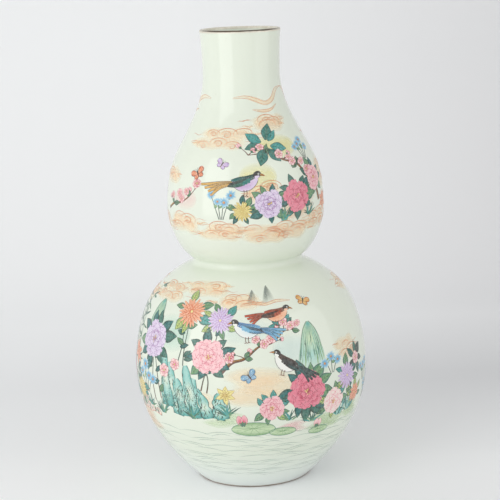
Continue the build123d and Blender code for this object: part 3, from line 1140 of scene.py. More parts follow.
def crane(spot, seed):
    """A flying crane: white body, black neck and flight feathers, red crown, legs held out behind."""
    rng = random.Random(seed)
    for y in (-0.5, 0.5):
        lay("birds", spot, [(-9, y), (-17, y - 1.2), (-25, y - 1.6)], [0.4, 0.3, 0.26], "smoke", level=0)
    for k in range(5):
        path = [(-6, 0.8 - 0.4 * k), (-10.5, 0.6 - 0.8 * k), (-14.5 + 0.5 * k, 0.6 - 1.4 * k)]
        lay("birds", spot, path, [0.8, 1.0, 0.2], ("white", "black"), "black", level=0.5)
    for hand, turn in ((1, 62), (-1, 128)):
        for k in range(12):
            share = k / 11
            root = spot.inner(1.5 - 3 * share, hand * 1.5, hand * (turn + 52 * share) - 90, level=1 + 0.2 * k)
            feather = stem(17 - 6.5 * share, -hand * 3.0, 5)
            tip = "white" if share > 0.45 else "black"
            blade("birds", root, feather, [0.7, 1.1, 1.2, 1.0, 0.15], ("white", "white", tip),
                  ("white", "pale_sky", "black"), "smoke", 0.12)
    blade("birds", spot, [(-8, 0), (-3, 0), (3, 0.3), (8, 1.2)], [1.4, 3.0, 3.0, 1.1], "white", "pale_sky",
          "smoke", 0.18, 3.6)
    blade("birds", spot, [(7, 1.0), (11, 2.0), (15, 4.2), (18.5, 5.2)], [1.3, 0.9, 0.75, 0.8],
          ("white", "black", "white"), ("pale_sky", "black", "white"), "smoke", 0.12, 4)
    oval("birds", spot.inner(19.4, 5.4, 10), 1.5, 1.15, "white", "pale_sky", level=4.4, count=5)
    dot("birds", spot, 19.4, 6.1, 0.6, "iron_red", level=5)
    dot("birds", spot, 20.0, 5.5, 0.25, "black", level=5)
    lay("birds", spot, [(20.6, 5.4), (23, 5.2), (25.5, 4.8)], [0.42, 0.3, 0.06], "ochre", "brown", level=4.4)
    for _ in range(8):
        x, y = rng.uniform(-5, 4), rng.uniform(-1.6, 1.6)
        lay("birds", spot, [(x, y), (x + 1.3, y + 0.1)], [0.12, 0.06], "smoke", level=4.5)


FORE_WING = np.array([0.12, 0.42, 0.72, 0.98, 1.1, 1.0, 0.4])
HIND_WING = np.array([0.2, 0.6, 0.95, 1.1, 1.0, 0.75, 0.25])
# Each pair of wings: its outline, length, half width, turn and layer
WINGS = ((HIND_WING, 7.0, 2.6, -122, 0.0), (FORE_WING, 9.5, 3.0, -58, 0.8))


def butterfly(spot, colours, edge, seed):
    """A butterfly with spread wings: two bordered pairs with veins and spots, a body and feelers."""
    rng = random.Random(seed)
    for hand in (-1, 1):
        half = spot.inner(hand=hand)
        for shape, length, width, turn, level in WINGS:
            wing = half.inner(turn=turn, level=level)
            border = (colours[0], edge, edge)
            blade("birds", wing, stem(length, 1.0, 7), width * shape, colours, border, "black", 0.15)
            for k in (-0.45, 0.05, 0.55):
                x = k * width + 0.8
                vein = [(0, 0.12 * length), (0.6 * k * width, 0.5 * length), (x, 0.84 * length)]
                lay("birds", wing, vein, [0.14, 0.12, 0.06], edge, level=0.6)
                dot("birds", wing, x, rng.uniform(0.72, 0.9) * length, rng.uniform(0.3, 0.5),
                    rng.choice(["white", "black"]), level=0.9)
        lay("birds", half, [(0.2, 3.4), (0.9, 5.2), (2.2, 6.6)], [0.12, 0.1], "black", level=2)
    body = [(0, -4), (0, -1.5), (0, 1), (0, 3.6)]
    lay("birds", spot, body, [0.3, 0.7, 0.85, 0.6], ("brown", "umber", "black"), level=2.4)


# The painted design: flowers, birds and rocks over water, with clouds above

RUBY = ("crimson", "ruby", "rose")
PINK = ("ruby", "rose", "pale_rose")
BLUSH = ("rose", "pale_rose", "blush")
LILAC = ("violet", "lilac", "pale_lilac")
BLUE = ("cobalt", "sky", "pale_sky")
LAVENDER = ("lilac", "lavender", "pale_lilac")
ORANGE = ("iron_red", "orange", "peach")
YELLOW = ("ochre", "lemon", "lemon")
DARK_LEAVES = (("jade", "pine"), ("leaf", "jade"), ("peacock", "pine"))
FRESH_LEAVES = (("lime", "leaf"), ("leaf", "jade"), ("turquoise", "jade"))


def peony_spray(azimuth, station, colours, seed, radius=15.0, leaves=9, kinds=DARK_LEAVES, roots=()):
    """A peony among its leaves, on stems from its roots."""
    spot = Spot(azimuth, station, turn=7 * seed % 40)
    carried_on(Spot(azimuth, station), roots, seed)
    foliage(spot, leaves, 0.62 * radius, 0.95 * radius, seed, kinds)
    peony(spot.inner(squash=0.92), colours, colours[0], seed, radius)


def chrysanthemum_spray(azimuth, station, colours, seed, radius=12.0, leaves=6, kinds=FRESH_LEAVES, roots=()):
    """A chrysanthemum among its leaves, on stems from its roots."""
    carried_on(Spot(azimuth, station), roots, seed, 0.55, ("jade", "leaf"))
    foliage(Spot(azimuth, station), leaves, 0.66 * radius, radius, seed, kinds)
    chrysanthemum(Spot(azimuth, station), colours, colours[0], seed, radius)


def aster_spray(azimuth, station, colours, seed, count=4, spread=11.0, radius=6.0):
    """A few small flowers on thin stalks."""
    rng = random.Random(seed)
    spot = Spot(azimuth, station)
    for k in range(count):
        x, y = spread * (k / max(1, count - 1) - 0.5) * 2, rng.uniform(-0.5, 0.9) * spread
        stalk(spot, [(0.2 * x, -1.6 * spread), (0.6 * x, 0.3 * y - 0.6 * spread), (x, y)], [0.4, 0.3])
        leaf(spot.inner(0.6 * x, -0.5 * spread, rng.uniform(-70, 70)), 7, 1.7, 1, "lime", "leaf", "jade")
        aster(spot.inner(x, y, rng.uniform(0, 30), squash=0.85), colours, seed + k,
              radius * rng.uniform(0.8, 1.1))


def blossom_branch(azimuth, station, path, width, seed, blossoms, leaves=5):
    """A flowering branch with blossoms and buds near its twigs."""
    rng = random.Random(seed)
    spot = Spot(azimuth, station)
    path = np.asarray(path, float)
    branch(spot, path, width, seed)
    for k in range(blossoms):
        start = path[min(1 + k * (len(path) - 1) // blossoms, len(path) - 1)]
        turn = rng.uniform(-75, 75)
        reach = rng.uniform(4, 10)
        tip = start + away(turn, reach)
        lay("rocks", spot, [start, (start + tip) / 2 + (0.6, 0.3), tip], [0.55, 0.4, 0.25],
            ("brown", "umber"), level=1)
        if rng.random() < 0.68:
            inner = spot.inner(*tip, rng.uniform(0, 72), squash=rng.uniform(0.75, 1))
            blossom(inner, seed + k, rng.uniform(3.8, 5.6))
        else:
            bud(spot.inner(*tip, turn), BLUSH, "ruby", rng.uniform(3.5, 5))
    for _ in range(leaves):
        start = path[rng.randrange(1, len(path))]
        inner = spot.inner(*start, rng.uniform(-120, 120))
        leaf(inner, rng.uniform(7, 11), rng.uniform(2, 2.8), rng.uniform(-2, 2), "leaf", "jade")


def paint_lower_front():
    """The garden on the large bulb, as the front shows it."""
    for seed, (azimuth, height, sway) in enumerate(((-90, 96, 5), (-82, 112, 9), (-74, 88, -4)), 1):
        bamboo(Spot(azimuth, 122), height, sway, seed)
    cone_rock(Spot(-60, 168), 16, 54, 10)
    garden_rock(Spot(-42, 116), 26, 82, 11)
    garden_rock(Spot(-27, 108), 60, 48, 12)
    garden_rock(Spot(-66, 102), 40, 18, 13, "umber", "peach", "blush")
    peony_spray(-57, 180, LILAC, 21, 20, 10, roots=((4, -62), (14, -58)))
    chrysanthemum_spray(-34, 214, ORANGE, 22, 15, roots=((-8, -50), (-2, -54)))
    chrysanthemum_spray(-16, 207, LAVENDER, 23, 13, roots=((-12, -50),))
    peony_spray(-21, 171, PINK, 24, 17, 9, roots=((-8, -34), (-2, -36)))
    aster_spray(-62, 143, BLUE, 25, 4, 12, 7)
    lily(Spot(-76, 160, size=1.2), ORANGE, "iron_red", 26)
    carried_on(Spot(-76, 160), ((3, -44),), 26)
    chrysanthemum_spray(-70, 125, YELLOW, 27, 11)
    peony_spray(-88, 138, RUBY, 28, 13, 8)
    blossom(Spot(-47, 152), 29, 7)
    blossom(Spot(-40, 160, turn=30), 30, 6)
    lily(Spot(-13, 134, size=0.9), YELLOW, "ochre", 31)
    tufts = ((-12, 112, 14, 16), (-30, 106, 16, 16), (-50, 106, 16, 17), (-60, 110, 12, 13),
             (-78, 112, 12, 15))
    for seed, (azimuth, station, count, length) in enumerate(tufts, 32):
        grass(Spot(azimuth, station), count, length, seed)

    blossom_branch(3, 178, [(-36, -22), (-25, -12), (-12, -8), (2, 3), (15, 6), (27, 16), (36, 17)],
                   [1.9, 1.6, 1.3, 1.0, 0.8, 0.5, 0.3], 37, blossoms=12)
    foliage(Spot(17, 198), 5, 3, 13, 38, (("turquoise", "peacock"), ("jade", "pine")), -60, 170)
    songbird(Spot(-1, 197, turn=6, size=1.08, hand=-1), ("sky", "cobalt"), ("pale_sky", "white"),
             ("sky", "cobalt"), ("cobalt", "sky"), 39)
    songbird(Spot(14, 211, turn=-10, size=0.98), ("iron_red", "brown"), ("orange", "peach"),
             ("brown", "umber"), ("brown", "iron_red"), 40, 22)

    cone_rock(Spot(30.5, 148), 18, 53, 41)
    peony_spray(27, 133, RUBY, 43, 20, 12, roots=((-2, -32),))
    peony_spray(9, 119, PINK, 44, 13, 8, FRESH_LEAVES)
    peony_spray(43, 116, BLUSH, 45, 14, 8, FRESH_LEAVES)
    chrysanthemum_spray(53, 138, LAVENDER, 46, 14, roots=((2, -34),))
    foliage(Spot(62, 152), 7, 4, 13, 47, (("pine", "black"), ("jade", "pine")))
    blossom(Spot(62, 152), 61, 6.5)
    chrysanthemum_spray(61, 116, ORANGE, 48, 10)
    aster_spray(42, 160, BLUE, 49, 3, 9)
    aster_spray(72, 138, BLUE, 50, 3, 9)
    songbird(Spot(17, 162, turn=-16, size=1.05, hand=-1), ("black", "umber"), ("white", "white"),
             ("black", "peacock"), ("peacock", "black"), 51, 28)
    for azimuth, station, seed in ((49, 98, 52), (56, 100, 53)):
        grass(Spot(azimuth, station), 14, 19, seed,
              (("turquoise", "peacock"), ("pale_turquoise", "turquoise"), ("jade", "pine")))
    grass(Spot(30, 99), 12, 14, 54)
    grass(Spot(18, 104), 10, 13, 55)
    lotus_pad(Spot(0, 97), 22, 8, 56)
    lotus_pad(Spot(15, 92), 14, 5, 57)
    lotus_pad(Spot(36, 87), 12, 4.5, 58)
    bud(Spot(-5, 101, turn=8), PINK, "ruby", 10)
    bud(Spot(34, 91, turn=-10), BLUSH, "rose", 8)
    butterfly(Spot(33, 222, turn=-25, size=0.85), ("lemon", "gold"), "orange", 59)
    butterfly(Spot(-1, 152, turn=35, size=0.9), ("pale_sky", "sky"), "cobalt", 60)


def paint_lower_back():
    """A lighter spray round the back of the large bulb."""
    garden_rock(Spot(162, 104), 54, 40, 71)
    cone_rock(Spot(112, 132), 15, 60, 72)
    cone_rock(Spot(-122, 128), 13, 50, 73)
    bamboo(Spot(150, 122), 92, 8, 74)
    bamboo(Spot(158, 120), 76, -6, 75)
    peony_spray(176, 160, PINK, 76, 18, 10, roots=((-6, -48), (2, -50)))
    peony_spray(-162, 132, LILAC, 77, 15, 9, roots=((0, -24),))
    peony_spray(-108, 122, RUBY, 78, 15, 9)
    chrysanthemum_spray(134, 126, YELLOW, 79, 13, roots=((4, -24),))
    chrysanthemum_spray(94, 120, ORANGE, 80, 12)
    aster_spray(106, 128, LAVENDER, 81)
    aster_spray(-140, 124, BLUE, 82)
    aster_spray(80, 118, BLUE, 83)
    blossom_branch(-150, 176, [(40, -36), (28, -16), (10, -6), (-6, 6), (-22, 8), (-36, 22)],
                   [2.0, 1.6, 1.3, 0.9, 0.6, 0.3], 84, blossoms=12)
    crane(Spot(-122, 206, turn=18, size=1.3, hand=-1), 85)
    crane(Spot(128, 208, turn=10, size=1.2), 86)
    butterfly(Spot(160, 214, turn=15), ("pale_rose", "lilac"), "violet", 87)
    for seed, azimuth in enumerate((178, 146, -100, 88, -130, 118), 88):
        grass(Spot(azimuth, 104), 13, 15, seed)
    lotus_pad(Spot(122, 94), 18, 6.5, 94)
    lotus_pad(Spot(-136, 95), 16, 6, 95)
    lotus_pad(Spot(-176, 93), 18, 6, 96)
    bud(Spot(125, 99, turn=10), PINK, "ruby", 9)


def paint_upper_front():
    """Flowers, a branch and birds on the small bulb, as the front shows them."""
    blossom_branch(36, 386, [(42, -44), (36, -28), (23, -17), (12, -4), (-4, 2), (-20, 10), (-38, 9)],
                   [2.2, 1.9, 1.5, 1.2, 0.9, 0.5, 0.25], 101, blossoms=14, leaves=10)
    foliage(Spot(20, 405), 7, 5, 17, 102, (("turquoise", "peacock"), ("jade", "peacock")))
    songbird(Spot(-1, 367, turn=-6, size=1.12), ("peacock", "pine"), ("lilac", "pale_lilac"),
             ("jade", "pine"), ("ochre", "gold"), 103, 31)
    peony_spray(40, 351, RUBY, 104, 16, 10)
    peony_spray(17, 346, LILAC, 105, 14, 9)
    peony_spray(62, 366, PINK, 106, 13, 9)
    chrysanthemum_spray(-3, 340, YELLOW, 107, 9.5, 7, DARK_LEAVES)
    aster_spray(58, 400, BLUE, 109, 4, 9, 5.5)
    aster_spray(-18, 348, BLUE, 110, 4, 10, 6)
    lily(Spot(74, 340), ORANGE, "iron_red", 111)
    grass(Spot(28, 328), 14, 15, 112)
    grass(Spot(50, 330), 12, 13, 113)
    butterfly(Spot(-38, 376, turn=30, size=0.9), ("peach", "orange"), "iron_red", 114)
    butterfly(Spot(-18, 386, turn=-30, size=0.75), ("pale_lilac", "lavender"), "lilac", 115)
    blossom_branch(-50, 350, [(-30, -12), (-18, -6), (-6, -4), (6, 2), (14, 10)], [1.3, 1.1, 0.9, 0.6, 0.3],
                   116, blossoms=8)


def paint_upper_back():
    """A branch with a bird, and clouds, round the back of the small bulb."""
    blossom_branch(178, 366, [(-44, -22), (-28, -14), (-12, -8), (4, 4), (18, 6), (34, 18)],
                   [1.9, 1.6, 1.2, 0.9, 0.6, 0.3], 121, blossoms=13, leaves=10)
    songbird(Spot(166, 374, size=1.0, hand=-1), ("sky", "cobalt"), ("peach", "white"),
             ("cobalt", "black"), ("cobalt", "sky"), 122)
    peony_spray(128, 352, PINK, 123, 15)
    peony_spray(-122, 352, RUBY, 124, 14)
    aster_spray(100, 356, LAVENDER, 125)
    chrysanthemum_spray(-98, 344, ORANGE, 126, 11)
    butterfly(Spot(-140, 392, turn=20), ("lemon", "peach"), "orange", 127)


# Clouds: azimuth in degrees, then station, length and height in millimetres
CLOUDS = (
    (-58, 232, 54, 20), (-32, 241, 44, 14), (-9, 227, 40, 10), (55, 166, 30, 20), (92, 228, 50, 16),
    (128, 240, 46, 14), (166, 236, 56, 16), (-156, 226, 50, 14), (-112, 240, 52, 15), (-88, 222, 40, 14),
    (-22, 412, 58, 20), (26, 428, 34, 11), (-72, 372, 30, 9), (-50, 326, 40, 14), (-20, 320, 42, 15),
    (10, 316, 42, 15), (38, 318, 42, 15), (66, 325, 40, 17), (100, 320, 52, 15), (142, 314, 58, 15),
    (-172, 320, 58, 15), (-128, 314, 54, 15), (-88, 322, 48, 14), (112, 408, 46, 16), (164, 420, 52, 15),
    (-138, 412, 50, 16), (80, 368, 26, 26), (12, 356, 26, 15),
)
# Banks of wash: azimuth, station, length and height as for clouds, then colour and strength
BANKS = (
    (5, 142, 88, 22, "cloud_wash", 0.5), (-30, 124, 56, 14, "cloud_wash", 0.5),
    (40, 96, 60, 11, "pale_green", 0.7), (-14, 108, 46, 10, "pale_green", 0.5),
    (58, 100, 34, 10, "pale_green", 0.65), (20, 96, 38, 8, "pale_rose", 0.45),
    (-68, 92, 44, 14, "peach", 0.45), (40, 340, 54, 14, "peach", 0.5),
    (170, 140, 60, 18, "peach", 0.45), (-160, 104, 52, 10, "pale_green", 0.55),
    (120, 104, 48, 10, "pale_green", 0.55), (170, 350, 44, 14, "peach", 0.45),
)
# Ovals of wash: azimuth, station, half length and half height, then colour and strength
GLOWS = (
    (10, 372, 20, 16, "lemon", 0.5), (30, 402, 24, 14, "lemon", 0.6),
    (-50, 350, 18, 12, "pale_rose", 0.35), (-45, 190, 26, 20, "pale_turquoise", 0.35),
    (20, 176, 20, 16, "pale_sky", 0.3), (-4, 196, 30, 14, "pale_sky", 0.2),
)
# Far peaks: azimuth, station, half width and height
PEAKS = (
    (2, 224, 6.5, 17), (12, 225, 7.5, 21), (148, 228, 7, 21), (-136, 230, 6, 18),
)


def paint_sky_and_water():
    """Scroll clouds, far peaks, washes of colour and the water round the foot."""
    for seed, (azimuth, station, length, height) in enumerate(CLOUDS, 201):
        cloud(Spot(azimuth, station), length, height, seed)
    for seed, (azimuth, hand) in enumerate(((20, 1), (112, -1), (-158, 1), (-80, -1)), 1):
        cloud_ribbon(Spot(azimuth, 452, hand=hand),
                     [(-24, 2), (-12, 3), (-2, 0), (8, -4), (17, -1), (24, 8), (33, 11)], seed)
        cloud_ribbon(Spot(azimuth, 446, hand=hand), [(-6, -4), (4, -6), (14, -5), (22, 0)], seed + 10, 1.6)
    for azimuth, station, width, height in PEAKS:
        misty_peak(Spot(azimuth, station), width, height)
    cloud_ribbon(Spot(8, 224), [(-22, -2), (-10, 1), (2, -1), (14, 2), (28, 1)], 31, 1.8)
    for azimuth, station, length, height, colour, strength in BANKS:
        bank(Spot(azimuth, station), length, height, colour, strength, round(station + azimuth))
    for azimuth, station, wide, high, colour, strength in GLOWS:
        cover = [0, strength, strength, strength, 0]
        oval("washes", Spot(azimuth, station), wide, high, colour, cover=cover, count=9)
    waves(30, 94, 7.4, 300)


paint_sky_and_water()
paint_lower_front()
paint_lower_back()
paint_upper_front()
paint_upper_back()


# Finishes

GLAZE_IOR = 1.5
GLAZE_RIPPLE = 0.06
RIPPLE_DEPTH = 0.4 * MM
PINHOLE_DEPTH = 0.4
LIP_TOP = CAD_BOX[1][2]
LIP_CREST = CLAY_LINE[-1, 0] - 2.0 * MM
# Of these colours, the whiter glaze used near the foot is painted light from the floor below.
FINISH_COLOURS = {name: hex_colour(code) for name, code in {
    "glaze": "E9EFE0", "pooled_glaze": "DFE8D9", "floor_lit_glaze": "EFF5F1",
    "speck": "C9CDB4", "pinhole": "BFC6B2", "thin_enamel": "F2F4EA",
    "clay": "9A8471", "dark_clay": "6F5746", "brown_band_at_foot": "9E7E63",
    "gilding": "6A5742", "dark_gilding": "43382B", "rubbed_and_reflecting": "EDE9DA", "dark_rubbed_and_reflecting": "DFD9C8",
}.items()}


def new_finish(name):
    """A material with its nodes and its Principled shader."""
    material = bpy.data.materials.new(name)
    material.use_nodes = True
    return material, Nodes(material.node_tree), material.node_tree.nodes["Principled BSDF"]


def glaze_ripple_group():
    """Shader group: the slow ripple of a fired glaze, as a bump's height, and its pinholes, as a mask."""
    tree = bpy.data.node_groups.new("glaze_ripple", "ShaderNodeTree")
    for way, labels in (("INPUT", ("Ripple scale", "Pinhole scale")), ("OUTPUT", ("Height", "Pinholes"))):
        for label in labels:
            tree.interface.new_socket(label, in_out=way, socket_type="NodeSocketFloat")
    nodes = Nodes(tree)
    given = nodes.add("NodeGroupInput").outputs
    ripple = nodes.noise(given["Ripple scale"], 2.0)
    cells = nodes.shade("TexVoronoi", {"Vector": nodes.coordinates(), "Scale": given["Pinhole scale"]})
    pinholes = nodes.spread(cells.outputs["Distance"], 0.03, 0.06, 1.0, 0.0)
    height = nodes.maths("SUBTRACT", ripple, nodes.maths("MULTIPLY", pinholes, PINHOLE_DEPTH))
    nodes.add("NodeGroupOutput", {"Height": height, "Pinholes": pinholes})
    return tree


def add_ripple(nodes, shader, strength, ripple_scale=38.0, pinhole_scale=260.0):
    """Sets the glaze's ripple on a shader's normal, and returns the mask of its pinholes."""
    group = nodes.shade("Group", node_tree=RIPPLE)
    nodes.feed(group, {"Ripple scale": ripple_scale, "Pinhole scale": pinhole_scale})
    height = group.outputs["Height"]
    bump = nodes.shade("Bump", {"Strength": strength, "Distance": RIPPLE_DEPTH, "Height": height})
    nodes.feed(shader, {"Normal": bump})
    return group.outputs["Pinholes"]


def celadon_glaze():
    """Pale green-white glaze: greener pooled at the waist, whiter near the foot as painted light from the
    floor below, clouded and specked.
    """
    material, nodes, shader = new_finish("celadon_glaze")
    colour = FINISH_COLOURS
    height = nodes.parts(nodes.coordinates())["Z"]
    from_waist = nodes.maths("ABSOLUTE", nodes.maths("SUBTRACT", height, CREASE_HEIGHT))
    pooled = nodes.spread(from_waist, 1 * MM, 8 * MM, 0.25, 0.0)
    clouded = nodes.patches(9.0, 4.0, 0.35, 0.7, to_high=0.35)
    body = nodes.mixed(nodes.maths("MAXIMUM", pooled, clouded), colour["glaze"], colour["pooled_glaze"])
    # Whiter towards the foot: painted light, the bounce from the bright floor.
    body = nodes.mixed(nodes.spread(height, 4 * MM, 50 * MM, 1.0, 0.0), body, colour["floor_lit_glaze"])
    body = nodes.mixed(nodes.patches(520.0, 1.0, 0.735, 0.78, to_high=0.3), body, colour["speck"])
    pinholes = nodes.maths("MULTIPLY", add_ripple(nodes, shader, GLAZE_RIPPLE), 0.25)
    nodes.feed(shader, {
        "Base Color": nodes.mixed(pinholes, body, colour["pinhole"]),
        "Roughness": nodes.patches(30.0, 3.0, 0.3, 0.7, 0.05, 0.09), "IOR": GLAZE_IOR})
    return material


def biscuit_foot():
    """The foot ring: bare clay on the standing edge, and a brown band where the glaze ends just above it."""
    material, nodes, shader = new_finish("biscuit_foot")
    colour = FINISH_COLOURS
    wander = nodes.patches(60.0, 3.0, 0.3, 0.7, -0.25 * MM, 0.25 * MM)
    level = nodes.maths("ADD", nodes.parts(nodes.coordinates())["Z"], wander)
    bare = nodes.spread(level, 0.6 * MM, 1.0 * MM, 1.0, 0.0)
    # A brown band where the glaze ends, just above the standing edge.
    browned_edge = nodes.spread(level, 0.9 * MM, 1.8 * MM, 1.0, 0.0)
    clay = nodes.mixed(nodes.patches(900.0, 4.0, 0.35, 0.65), colour["clay"], colour["dark_clay"])
    # The glaze on the foot ring takes the same painted light from the floor as the body near the foot.
    glazed = nodes.mixed(browned_edge, colour["floor_lit_glaze"], colour["brown_band_at_foot"])
    nodes.feed(shader, {"Base Color": nodes.mixed(bare, glazed, clay),
                        "Roughness": nodes.spread(bare, 0.0, 1.0, 0.08, 0.8)})
    add_ripple(nodes, shader, 0.1, 60.0, 500.0)
    return material


def worn_gilding():
    """Gold on the lip: brown along the outer crest, pale on the sides as partly rubbed gold and partly a
    painted reflection, and paler at the lip's left and right ends as a painted highlight.
    """
    material, nodes, shader = new_finish("worn_gilding")
    colour = FINISH_COLOURS
    place = nodes.parts(nodes.coordinates())
    squares = [nodes.maths("MULTIPLY", place[axis], place[axis]) for axis in "XY"]
    radius = nodes.maths("SQRT", nodes.maths("ADD", *squares))
    wander = nodes.patches(60.0, 4.0, 0.3, 0.7, -0.3 * MM, 0.3 * MM)
    level = nodes.maths("ADD", place["Z"], wander)
    high = nodes.spread(level, LIP_TOP - 1.5 * MM, LIP_TOP - 1.0 * MM, 0.0, 1.0)
    reach = nodes.maths("ADD", radius, wander)
    outer = nodes.spread(reach, LIP_CREST - 0.4 * MM, LIP_CREST + 0.2 * MM, 0.0, 1.0)
    # Paler towards the left and right ends of the lip: a painted highlight.
    front = nodes.spread(nodes.maths("ABSOLUTE", place["X"]), 30 * MM, 40 * MM, 1.0, 0.25)
    kept = nodes.maths("MULTIPLY", nodes.maths("MULTIPLY", high, outer), front)
    grain = nodes.patches(300.0, 5.0, 0.35, 0.65, roughness=0.65)
    brown = nodes.mixed(grain, colour["gilding"], colour["dark_gilding"])
    # The pale gold is partly rubbed wear and partly a painted reflection of the bright room.
    pale = nodes.mixed(grain, colour["rubbed_and_reflecting"], colour["dark_rubbed_and_reflecting"])
    nodes.feed(shader, {"Base Color": nodes.mixed(kept, pale, brown),
                        "Metallic": nodes.spread(grain, 0.0, 1.0, 0.35, 0.15),
                        "Roughness": nodes.spread(grain, 0.0, 1.0, 0.3, 0.45)})
    return material


def overglaze_enamel(name, roughness, thin=False):
    """Fired colour on the glaze, uneven where the brush left it thin; a thin wash lets the glaze through."""
    material, nodes, shader = new_finish(name)
    paint = nodes.shade("Attribute", attribute_name="paint").outputs["Color"]
    mottle = nodes.patches(420.0, 4.0, 0.3, 0.7, roughness=0.6)
    pale = nodes.mixed(0.05 if thin else 0.14, paint, FINISH_COLOURS["thin_enamel"])
    deep = nodes.mixed(0.06 if thin else 0.22, paint, paint, "MULTIPLY")
    nodes.feed(shader, {"Base Color": nodes.mixed(mottle, deep, pale), "IOR": GLAZE_IOR,
                        "Roughness": nodes.spread(mottle, 0.0, 1.0, 0.8 * roughness, 1.3 * roughness)})
    add_ripple(nodes, shader, GLAZE_RIPPLE)
    if thin:
        cover = nodes.shade("Attribute", attribute_name="thickness").outputs["Fac"]
        streak = nodes.patches(70.0, 3.0, 0.3, 0.7, 0.75, 1.0)
        nodes.feed(shader, {"Alpha": nodes.maths("MULTIPLY", cover, streak)})
    return material


RIPPLE = glaze_ripple_group()
glaze = celadon_glaze()
enamel = overglaze_enamel("overglaze_enamel", 0.14)
fine_line = overglaze_enamel("iron_and_ink_line", 0.22)
wash = overglaze_enamel("thin_wash", 0.1, thin=True)

wheel_tree = turning_tree()
special = {"foot_ring": biscuit_foot(), "rim_gilding": worn_gilding()}
for wall_node in WALL_NODES + ["base_disc", "floor_slip", "rim_gilding"]:
    turn_piece(wall_node, special.get(wall_node, glaze), wheel_tree)

brush_tree = painting_tree()
wall_line = line_object("wall_line", [(r, 0, z) for r, z in GLAZE_LINE])
for name in sorted(SHEETS):
    sheet = name.removeprefix("lower_").removeprefix("upper_")
    fine = sheet.endswith("_lines")
    finish = wash if sheet in SEE_THROUGH else fine_line if fine else enamel
    across, steps = SHEET_MESH.get(sheet, FINE_MESH if fine else BROAD_MESH)
    painted = paint_piece(name, finish, brush_tree, wall_line, across, steps)
    painted.visible_shadow = finish is not wash
bpy.data.objects.remove(wall_line)


# Stage, lamps and camera, in metres and degrees

LAMPS = {
    "key_softbox": {"azimuth": -44, "distance": 1.5, "low": 0.02, "high": 1.6, "width": 1.08, "level": 1.6},
    "fill_softbox": {"azimuth": 66, "distance": 1.5, "low": 0.05, "high": 1.4, "width": 1.25, "level": 0.85},
}
SKY_LEFT = 0.79
SKY_RIGHT = 0.57
SWEEP_FRONT = -2.6
SWEEP_DEPTH = 0.75
SWEEP_BEND = 0.35
SWEEP_HEIGHT = 2.2
SWEEP_HALF_WIDTH = 3.0
SWEEP_RINGS = 13
# Where a painted shadow of the vase lies across the floor behind it, and the paper's colour in that shadow.
VASE_SHADOW_DEPTH = 0.34
PAPER = (0.965, 0.975, 0.98, 1)
PAPER_IN_SHADE = (0.78, 0.78, 0.79, 1)
PAPER_IN_VASE_SHADOW = (0.82, 0.82, 0.825, 1)


def camera():
    """The camera of the photograph, aimed by its pitch, yaw and roll."""
    data = bpy.data.cameras.new("camera")
    data.lens = CAMERA_LENS_MM
    data.sensor_width = CAMERA_FILM_MM
    data.sensor_fit = "HORIZONTAL"
    obj = placed("camera", data)
    aim = Matrix.Rotation(math.radians(-CAMERA_YAW_RIGHT), 4, "Z")
    aim @= Matrix.Rotation(math.radians(90 - CAMERA_PITCH_DOWN), 4, "X")
    aim @= Matrix.Rotation(math.radians(CAMERA_ROLL), 4, "Z")
    obj.matrix_world = Matrix.Translation((0, -CAMERA_DISTANCE, CAMERA_HEIGHT)) @ aim
    bpy.context.scene.camera = obj


def softbox(name, azimuth, distance, low, high, width, level):
    """An upright lamp panel that faces the vase, at an azimuth from the camera, right of it above 0."""
    data = bpy.data.lights.new(name, "AREA")
    data.shape = "RECTANGLE"
    data.size = width
    data.size_y = high - low
    data.energy = level * math.pi * width * (high - low)
    angle = math.radians(azimuth)
    place = Vector((distance * math.sin(angle), -distance * math.cos(angle), (low + high) / 2))
    facing = Vector((-place.x, -place.y, 0)).to_track_quat("-Z", "Y")
    placed(name, data).matrix_world = Matrix.Translation(place) @ facing.to_matrix().to_4x4()


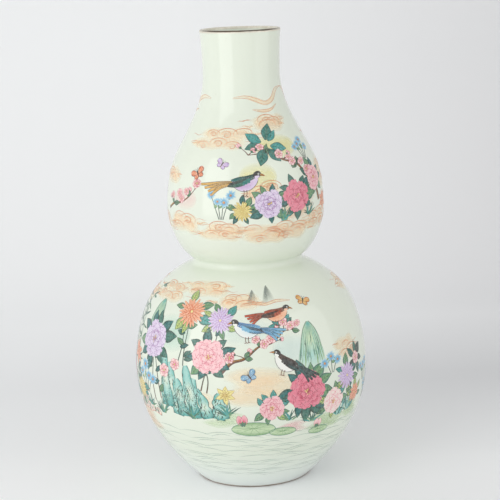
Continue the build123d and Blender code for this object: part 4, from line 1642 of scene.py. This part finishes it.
def paper():
    """Pale paper: painted shade to the right, a painted shadow of the vase across the floor behind it, and
    clear to the camera from behind.
    """
    material, nodes, shader = new_finish("paper")
    place = nodes.parts(nodes.coordinates())
    aside = nodes.spread(place["X"], -0.1, 0.6, 0.0, 1.0)
    shade = nodes.maths("MULTIPLY", aside, nodes.spread(place["Y"], 0.2, 0.8, 0.45, 1.0))
    # A painted shadow of the vase: a band across the floor behind it, darker to the right.
    off_vase_shadow = nodes.maths("ABSOLUTE", nodes.maths("SUBTRACT", place["Y"], VASE_SHADOW_DEPTH))
    right = nodes.spread(place["X"], -0.3, 0.2, 0.4, 1.0)
    painted_vase_shadow = nodes.maths("MULTIPLY", nodes.spread(off_vase_shadow, 0.02, 0.32, 1.0, 0.0), right)
    shaded = nodes.mixed(shade, PAPER, PAPER_IN_SHADE)
    nodes.feed(shader, {"Base Color": nodes.mixed(painted_vase_shadow, shaded, PAPER_IN_VASE_SHADOW, "MULTIPLY"), "Roughness": 0.9})
    behind = nodes.shade("NewGeometry").outputs["Backfacing"]
    clear = nodes.maths("MULTIPLY", behind, nodes.shade("LightPath").outputs["Is Camera Ray"])
    one_sided = nodes.shade("MixShader", {0: clear, 1: shader, 2: nodes.shade("BsdfTransparent")})
    nodes.feed(nodes.tree.nodes["Material Output"], {"Surface": one_sided})
    return material


def backdrop():
    """A sweep of paper: floor, a wide curve and a wall."""
    rows = [(SWEEP_FRONT, 0.0)]
    for angle in np.radians(np.linspace(0, 90, SWEEP_RINGS)):
        rows.append((SWEEP_DEPTH + SWEEP_BEND * math.sin(angle), SWEEP_BEND * (1 - math.cos(angle))))
    rows.append((SWEEP_DEPTH + SWEEP_BEND, SWEEP_HEIGHT))
    verts = [(x, y, z) for y, z in rows for x in (-SWEEP_HALF_WIDTH, SWEEP_HALF_WIDTH)]
    faces = [(2 * i, 2 * i + 1, 2 * i + 3, 2 * i + 2) for i in range(len(rows) - 1)]
    mesh = bpy.data.meshes.new("backdrop")
    mesh.from_pydata(verts, [], faces)
    mesh.polygons.foreach_set("use_smooth", [True] * len(faces))
    mesh.materials.append(paper())
    placed("backdrop", mesh)


def studio_light():
    """Even light from all round, a little stronger from the left."""
    world = bpy.data.worlds.new("studio")
    bpy.context.scene.world = world
    world.use_nodes = True
    nodes = Nodes(world.node_tree)
    aside = nodes.parts(nodes.shade("TexCoord").outputs["Generated"])["X"]
    strength = nodes.spread(aside, -1.0, 1.0, SKY_LEFT, SKY_RIGHT)
    nodes.feed(world.node_tree.nodes["Background"], {"Color": (1, 1, 1, 1), "Strength": strength})


backdrop()
for name, lamp in LAMPS.items():
    softbox(name, **lamp)
studio_light()
camera()
bpy.context.scene.view_settings.view_transform = "Standard"
